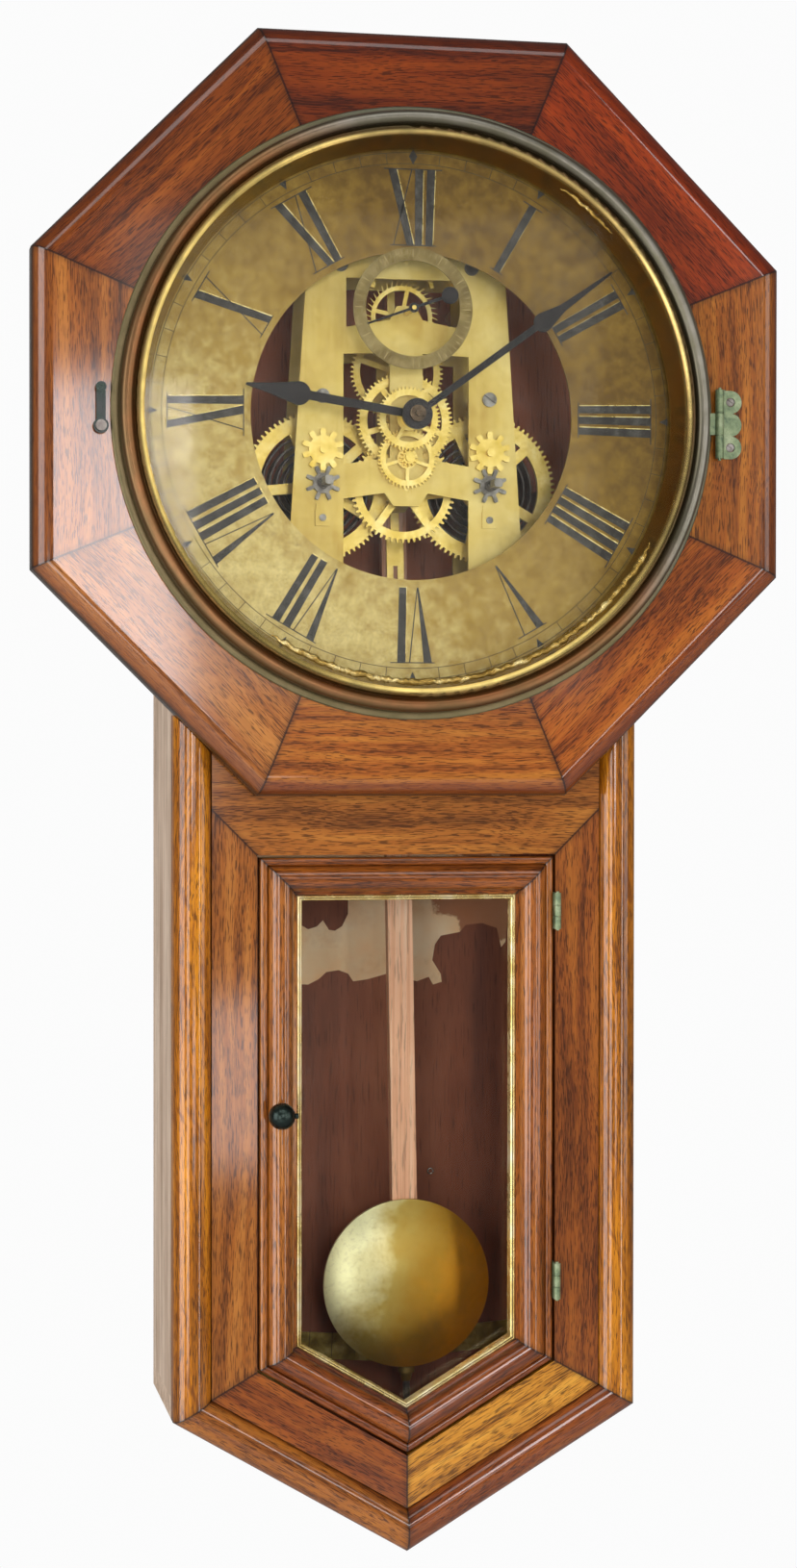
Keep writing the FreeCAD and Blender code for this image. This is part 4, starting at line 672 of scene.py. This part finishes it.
def dress_metal():
    dress("dial_plate", dial_metal())
    ring = mottled("seconds_tarnish", ("#6E5A2C", "#887444", "#A08C5C"), 120.0, 0.5, (0.35, 0.5), spots=0.2)
    dress("seconds_ring", ring)
    plate = mottled(
        "plate_brass", ("#BE9C46", "#DABD66", "#E8D084"), 26.0, 0.5, (0.34, 0.46), brush=(260.0, 260.0, 12.0),
        spots=0.2, spot="#9A7A34",
    )
    wheel = mottled(
        "wheel_brass", ("#DAB850", "#F4D678", "#FFE89A"), 90.0, 0.6, (0.3, 0.42), spots=0.2, spot="#8A6A2C"
    )
    wheels = "hour_wheel minute_wheel second_wheel third_wheel escape_wheel great_wheel_left great_wheel_right"
    others = "stop_star_left stop_star_right movement_posts suspension_cock verge_and_crutch"
    for name in wheels.split() + others.split():
        dress(name, wheel)
    dress("front_plate", plate)
    dress("back_plate", plate)
    steel = mottled(
        "bright_steel", ("#54504C", "#78726C", "#A09C98"), 140.0, 0.85, (0.25, 0.4), spots=0.35, spot="#3E3A38"
    )
    for name in ("winding_arbor_left", "winding_arbor_right", "pendulum_fittings"):
        dress(name, steel)
    dress_screws(steel, plate)
    bronze = mottled("hub_bronze", ("#3A2E22", "#5A4836", "#7E6850"), 160.0, 0.7, (0.25, 0.4), spots=0.4)
    dress("centre_wheel", wheel, bronze)
    hands_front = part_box("minute_hand")[1].y
    mesh = NODES["centre_wheel"].data
    before_hands = [int(face.center.y < hands_front) for face in mesh.polygons]
    mesh.polygons.foreach_set("material_index", before_hands)
    dress("mainsprings", mottled("spring_blue", ("#2E2A28", "#4A4440", "#6A6460"), 120.0, 0.9, (0.3, 0.45)))
    hanger = mottled("hanger_steel", ("#4A4A4C", "#66686A", "#808284"), 90.0, 0.85, (0.35, 0.5), spot="#5A3420")
    dress("wall_hanger", hanger)
    blue = mottled(
        "hand_steel", ("#100C0E", "#1C1618", "#2C2426"), 160.0, 0.4, (0.32, 0.45), spots=0.4, spot="#3E2A1E"
    )
    for name in ("minute_hand", "hour_hand", "seconds_hand"):
        dress(name, blue)
    dress("pendulum_bob", bob_metal())
    nut = mottled("nut_bronze", ("#6A5428", "#94783E", "#B89A5C"), 90.0, 0.7, (0.35, 0.5), spot="#4A3818")
    dress("rating_nut", nut)
    dress("bezel_ring", bezel_metal())
    dress("door_bead", bead_gilt())
    scale = mottled("scale_gilt", ("#6A5420", "#98803C", "#C4AC64"), 110.0, 0.6, (0.3, 0.45), spots=0.8)
    dress("beat_scale", scale)
    hinge = mottled(
        "hinge_tarnish", ("#54664C", "#82926C", "#A4AE8C"), 160.0, 0.35, (0.3, 0.5), spots=0.4, spot="#22342E"
    )
    for name in ("fixed_hinge_leaves", "bezel_hinge_leaf", "door_hinge_leaves"):
        dress(name, hinge)
    dress("bezel_catch", mottled("catch_black", ("#06120E", "#12221C", "#26382E"), 180.0, 0.5, (0.16, 0.3)))
    knob = mottled("knob_bronze", ("#0E1614", "#1E2A26", "#34423C"), 120.0, 0.7, (0.18, 0.3), spot="#3A4A40")
    dress("door_knob", knob)
    dress("bezel_glass", glass("bezel_pane"))
    dress("door_glass", glass("door_pane"))
    dress("paper_label", old_paper())


# ---------------------------------------------------------------- added pieces


def new_piece(name, mesh, body, material, smooth=False):
    mesh.materials.append(material)
    if smooth:
        mesh.polygons.foreach_set("use_smooth", [True] * len(mesh.polygons))
    piece = bpy.data.objects.new(name, mesh)
    bpy.context.scene.collection.objects.link(piece)
    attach(piece, body)
    return piece


class Slabs:
    """Thin flat shapes standing on a plane that faces the viewer."""

    def __init__(self, front, thick):
        self.mesh = bmesh.new()
        self.back, self.face = front, front - thick

    def add(self, outline):
        """outline is (x, z) corners in the row frame, in metres."""
        count = len(outline)
        if sum(a[0] * b[1] - b[0] * a[1] for a, b in zip(outline, outline[1:] + outline[:1])) < 0:
            outline = outline[::-1]
        rows = [[self.mesh.verts.new((x, y, z)) for x, z in outline] for y in (self.face, self.back)]
        self.mesh.faces.new(rows[0])
        for i in range(count):
            j = (i + 1) % count
            self.mesh.faces.new((rows[0][j], rows[0][i], rows[1][i], rows[1][j]))

    def piece(self, name, body, slot, material):
        mesh = bpy.data.meshes.new(name)
        self.mesh.to_mesh(mesh)
        self.mesh.free()
        return new_piece(name, mesh, body, material)


def ring_points(centre, radius, start, end, steps):
    points = []
    for step in range(steps + 1):
        angle = math.radians(start + (end - start) * step / steps)
        points.append((centre.x + radius * math.sin(angle), centre.z + radius * math.cos(angle)))
    return points


def add_ring(slabs, centre, radius, width):
    steps = 180
    outer = ring_points(centre, radius + width / 2, 0, 360, steps)
    inner = ring_points(centre, radius - width / 2, 0, 360, steps)
    for i in range(steps):
        slabs.add([inner[i], inner[i + 1], outer[i + 1], outer[i]])


def add_tick(slabs, centre, angle, inner, outer, width):
    turn = math.radians(angle)
    out = Vector((math.sin(turn), math.cos(turn)))
    side = Vector((math.cos(turn), -math.sin(turn))) * width / 2
    middle = Vector((centre.x, centre.z))
    low, high = middle + out * inner, middle + out * outer
    slabs.add([tuple(corner) for corner in (low - side, low + side, high + side, high - side)])


# Numerals, in mm: radii of foot and head, widths of thick and thin strokes, overhang of the serifs, and how far
# the painted highlight along a thick stroke's upper right edge shows past its fill.
FOOT, HEAD, THICK, HAIR = 91.5, 131.5, 4.2, 0.55
HEAD_SERIF, FOOT_SERIF, HIGHLIGHT_SHIFT = 2.6, 1.2, 0.42
STROKE_ROOM = {"I": 6.1, "V": 11.6, "X": 12.4}
NUMERALS = "XII I II III IIII V VI VII VIII IX X XI".split()


def numeral_strokes(text):
    """Strokes as (foot left, foot right, head left, head right) across, with their foot and head."""
    width = sum(STROKE_ROOM[letter] for letter in text)
    cursor = -width / 2
    for letter in text:
        room = STROKE_ROOM[letter]
        middle = cursor + room / 2
        half, thin = THICK / 2, HAIR / 2
        if letter == "I":
            yield middle - half, middle + half, middle - half, middle + half
        elif letter == "V":
            yield middle - 0.3, middle + 0.5, middle - 5.6 - half * 0.6, middle - 5.6 + half * 1.4
            yield middle + 0.1, middle + 0.1 + HAIR, middle + 4.6 - thin, middle + 4.6 + thin
        else:
            yield middle + 4.4 - half, middle + 4.4 + half, middle - 4.4 - half, middle - 4.4 + half
            yield middle - 5.2 - thin, middle - 5.2 + thin, middle + 5.4 - thin, middle + 5.4 + thin
        cursor += room


def add_numeral(fill, edge, text, hour):
    """One numeral, its foot towards the centre; the nine is engraved the other way up."""
    angle = math.radians(30 * hour)
    over = -1 if text == "IX" else 1
    middle_radius = (FOOT + HEAD) / 2

    def spot(across, radius, shift=0.0):
        fan = 1 + 0.35 * (radius - middle_radius) / middle_radius
        u = over * across * fan
        v = radius if over > 0 else 2 * middle_radius - radius
        x = DIAL.x + (u * math.cos(angle) + v * math.sin(angle) + shift) * MM
        z = DIAL.z + (-u * math.sin(angle) + v * math.cos(angle) + shift) * MM
        return x, z

    for a, b, c, d in numeral_strokes(text):
        # Thick strokes get a bright brass slab shifted up and to the right beneath their fill: a painted
        # highlight along that edge.
        layers = [(fill, 0.0)] if b - a < 1 else [(fill, 0.0), (edge, HIGHLIGHT_SHIFT)]
        for slabs, shift in layers:
            ends = ((a, FOOT), (b, FOOT), (d, HEAD), (c, HEAD))
            slabs.add([spot(across, radius, shift) for across, radius in ends])
    reach = sum(STROKE_ROOM[letter] for letter in text) / 2
    serifs = [(reach + HEAD_SERIF, HEAD, HEAD + HAIR)]
    if not text.startswith("V"):
        serifs.append((reach + FOOT_SERIF, FOOT - HAIR, FOOT))
    for half, low, high in serifs:
        fill.add([spot(-half, low), spot(half, low), spot(half, high), spot(-half, high)])


TRACK_INNER, TRACK_OUTER, TRACK_LINE = 134.8 * MM, 140.6 * MM, 0.35 * MM
# Five-minute marks as (across, radius) in mm: a wedge that points inward, and a diamond at twelve.
WEDGE = [(-2.0, 141.2), (2.0, 141.2), (0.0, 136.6)]
DIAMOND = [(0.0, 142.6), (2.3, 138.6), (0.0, 134.4), (-2.3, 138.6)]


def make_dial_marks():
    ink = mottled("numeral_fill", ("#241E1A", "#38322E", "#54504C"), 150.0, 0.1, (0.4, 0.55), spot="#241C16")
    highlight_brass = mottled("painted_edge_highlight", ("#A8925A", "#D0BA78", "#F0E0A8"), 150.0, 0.9, (0.22, 0.35), spots=0.2)
    fill = Slabs(DIAL_FRONT, 0.16 * MM)
    edge = Slabs(DIAL_FRONT, 0.08 * MM)
    for hour, text in enumerate(NUMERALS):
        add_numeral(fill, edge, text, hour)
    fill.piece("dial_numerals", "case", "blued_steel", ink)
    edge.piece("dial_numeral_edges", "case", "dial_brass", highlight_brass)
    track = Slabs(DIAL_FRONT, 0.1 * MM)
    for radius in (TRACK_INNER, TRACK_OUTER):
        add_ring(track, DIAL, radius, TRACK_LINE)
    for minute in range(60):
        if minute % 5:
            add_tick(track, DIAL, 6 * minute, TRACK_INNER, TRACK_OUTER, TRACK_LINE)
    fine = mottled("track_line", ("#3A2E1A", "#4E4024", "#665636"), 150.0, 0.3, (0.4, 0.55))
    track.piece("minute_track", "case", "dial_brass", fine)
    marks = Slabs(DIAL_FRONT, 0.16 * MM)
    for hour in range(12):
        angle = math.radians(30 * hour)
        outline = []
        for u, v in WEDGE if hour else DIAMOND:
            x = u * math.cos(angle) + v * math.sin(angle)
            z = v * math.cos(angle) - u * math.sin(angle)
            outline.append((DIAL.x + x * MM, DIAL.z + z * MM))
        marks.add(outline)
    marks.piece("five_minute_marks", "case", "blued_steel", ink)


def make_seconds_marks():
    low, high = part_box("seconds_ring")
    centre = (low + high) / 2
    outer = (high.x - low.x) / 2
    light = mottled("seconds_tick", ("#8A7448", "#B09A68", "#C8B484"), 150.0, 0.5, (0.35, 0.5))
    ticks = Slabs(low.y, 0.08 * MM)
    for second in range(60):
        length, width = (5.2, 0.4) if second % 5 == 0 else (3.4, 0.22)
        add_tick(ticks, centre, 6 * second, outer - length * MM, outer - 0.9 * MM, width * MM)
    ticks.piece("seconds_ticks", "case", "dial_brass", light)


def tube_mesh(name, path, radii, closed=False):
    """A swept round tube through the points, with its own radius at each."""
    sides = 10
    mesh = bmesh.new()
    rings = []
    count = len(path)
    for i, point in enumerate(path):
        before = path[i - 1] if closed or i else path[0]
        after = path[(i + 1) % count] if closed or i < count - 1 else path[-1]
        along = (after - before).normalized()
        side = along.cross(Vector((0, 1, 0.001))).normalized()
        up = side.cross(along)
        ring = []
        for k in range(sides):
            angle = 2 * math.pi * k / sides
            ring.append(mesh.verts.new(point + (side * math.cos(angle) + up * math.sin(angle)) * radii[i]))
        rings.append(ring)
    for i in range(count if closed else count - 1):
        a, b = rings[i], rings[(i + 1) % count]
        for k in range(sides):
            mesh.faces.new((a[k], a[(k + 1) % sides], b[(k + 1) % sides], b[k]))
    if not closed:
        mesh.faces.new(rings[0][::-1])
        mesh.faces.new(rings[-1])
    bmesh.ops.recalc_face_normals(mesh, faces=mesh.faces)
    data = bpy.data.meshes.new(name)
    mesh.to_mesh(data)
    mesh.free()
    return data


# Runs of putty as (name, start, end, thickness in mm), in degrees clockwise from twelve.
PUTTY_RUNS = (("putty_low", 118, 214, 1.9), ("putty_high", 32, 47, 1.1))
PUTTY_RADIUS = 142.4


def make_putty():
    """The lumpy bead that holds the dial glass, thickest along the bottom, with a scrap at the upper right."""
    chance = random.Random(4)
    glass_low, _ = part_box("bezel_glass")
    putty = mottled(
        "glazing_gilt", ("#7A5E24", "#B0924C", "#E8D494"), 130.0, 0.85, (0.16, 0.3),
        spot="#5A4018", bumps=0.4 * MM,
    )
    for name, start, end, thick in PUTTY_RUNS:
        steps = int((end - start) * 1.6)
        path, radii = [], []
        for step in range(steps + 1):
            angle = math.radians(start + (end - start) * step / steps)
            taper = min(1.0, step / 6, (steps - step) / 6)
            radius = (PUTTY_RADIUS + chance.uniform(-0.7, 0.7)) * MM
            out = glass_low.y - (0.2 + chance.uniform(0, 0.5)) * MM
            path.append(Vector((DIAL.x + radius * math.sin(angle), out, DIAL.z + radius * math.cos(angle))))
            radii.append((0.35 + thick * taper * chance.uniform(0.45, 1.0)) * MM)
        piece = new_piece(name, tube_mesh(name, path, radii), "bezel", putty, smooth=True)
        soften = piece.modifiers.new("round", "SUBSURF")
        soften.levels = soften.render_levels = 1


def make_screw_eye():
    """Small bright screw eye in the backboard, to the right of the rod."""
    steps, radius, wire_radius = 20, 1.5 * MM, 0.42 * MM
    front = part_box("backboard")[0].y
    centre = Vector((31 * MM, front - 0.4 * MM, DIAL.z - 420 * MM))
    path = []
    for step in range(steps):
        angle = 2 * math.pi * step / steps
        path.append(centre + Vector((math.sin(angle), 0, math.cos(angle))) * radius)
    wire = mottled("eye_wire", ("#8A8A86", "#B4B4AE", "#DADAD4"), 150.0, 0.9, (0.2, 0.35))
    ring = tube_mesh("screw_eye", path, [wire_radius] * steps, closed=True)
    new_piece("screw_eye", ring, "case", wire, smooth=True)


def make_beat_marks():
    """Engraved divisions on the beat scale."""
    low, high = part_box("beat_scale")
    dark = mottled("beat_line", ("#2A200E", "#3E3018", "#544424"), 150.0, 0.4, (0.4, 0.5))
    lines = Slabs(low.y, 0.06 * MM)
    pivot = Vector((0, 0, DIAL.z + PENDULUM_PIVOT_UP))
    inner = pivot.z - high.z + 3 * MM
    for step in range(-3, 4):
        add_tick(lines, pivot, 180 + 1.25 * step, inner, inner + 15 * MM, 0.35 * MM)
    lines.piece("beat_marks", "case", "gilt", dark)


make_camera()
make_world()
make_sweep()
soft_light("window_right", (1.0, -2.1, -0.3), (0.18, 2.2), 8.0, (1.0, 0.99, 0.98))
soft_light("window_left", (-2.1, -1.0, -0.3), (1.4, 1.9), 32.0, (0.99, 0.99, 1.0))
soft_light("front_left", (-1.0, -1.95, -0.6), (0.6, 1.0), 8.0, (1.0, 0.99, 0.98))
soft_light("sky_above", (-0.2, -1.9, 1.75), (2.4, 0.9), 17.0, (1.0, 0.99, 0.98))
soft_light("fill_right", (2.1, -1.7, -0.1), (1.2, 1.8), 14.0, (1.0, 0.98, 0.96))
soft_light("card_left", (-0.04, -2.15, -0.15), (0.32, 0.55), 5.5, (1.0, 0.95, 0.97))
soft_light("card_low", (0.14, -1.9, -0.72), (0.16, 0.2), 0.4, (1.0, 0.95, 0.97))
soft_light("bounce", (0.34, -2.2, 0.04), (0.6, 0.6), 1.6, (1.0, 0.97, 0.92))
dress_wood()
dress_metal()
make_dial_marks()
make_seconds_marks()
make_putty()
make_screw_eye()
make_beat_marks()
bpy.context.scene.view_settings.view_transform = "Standard"
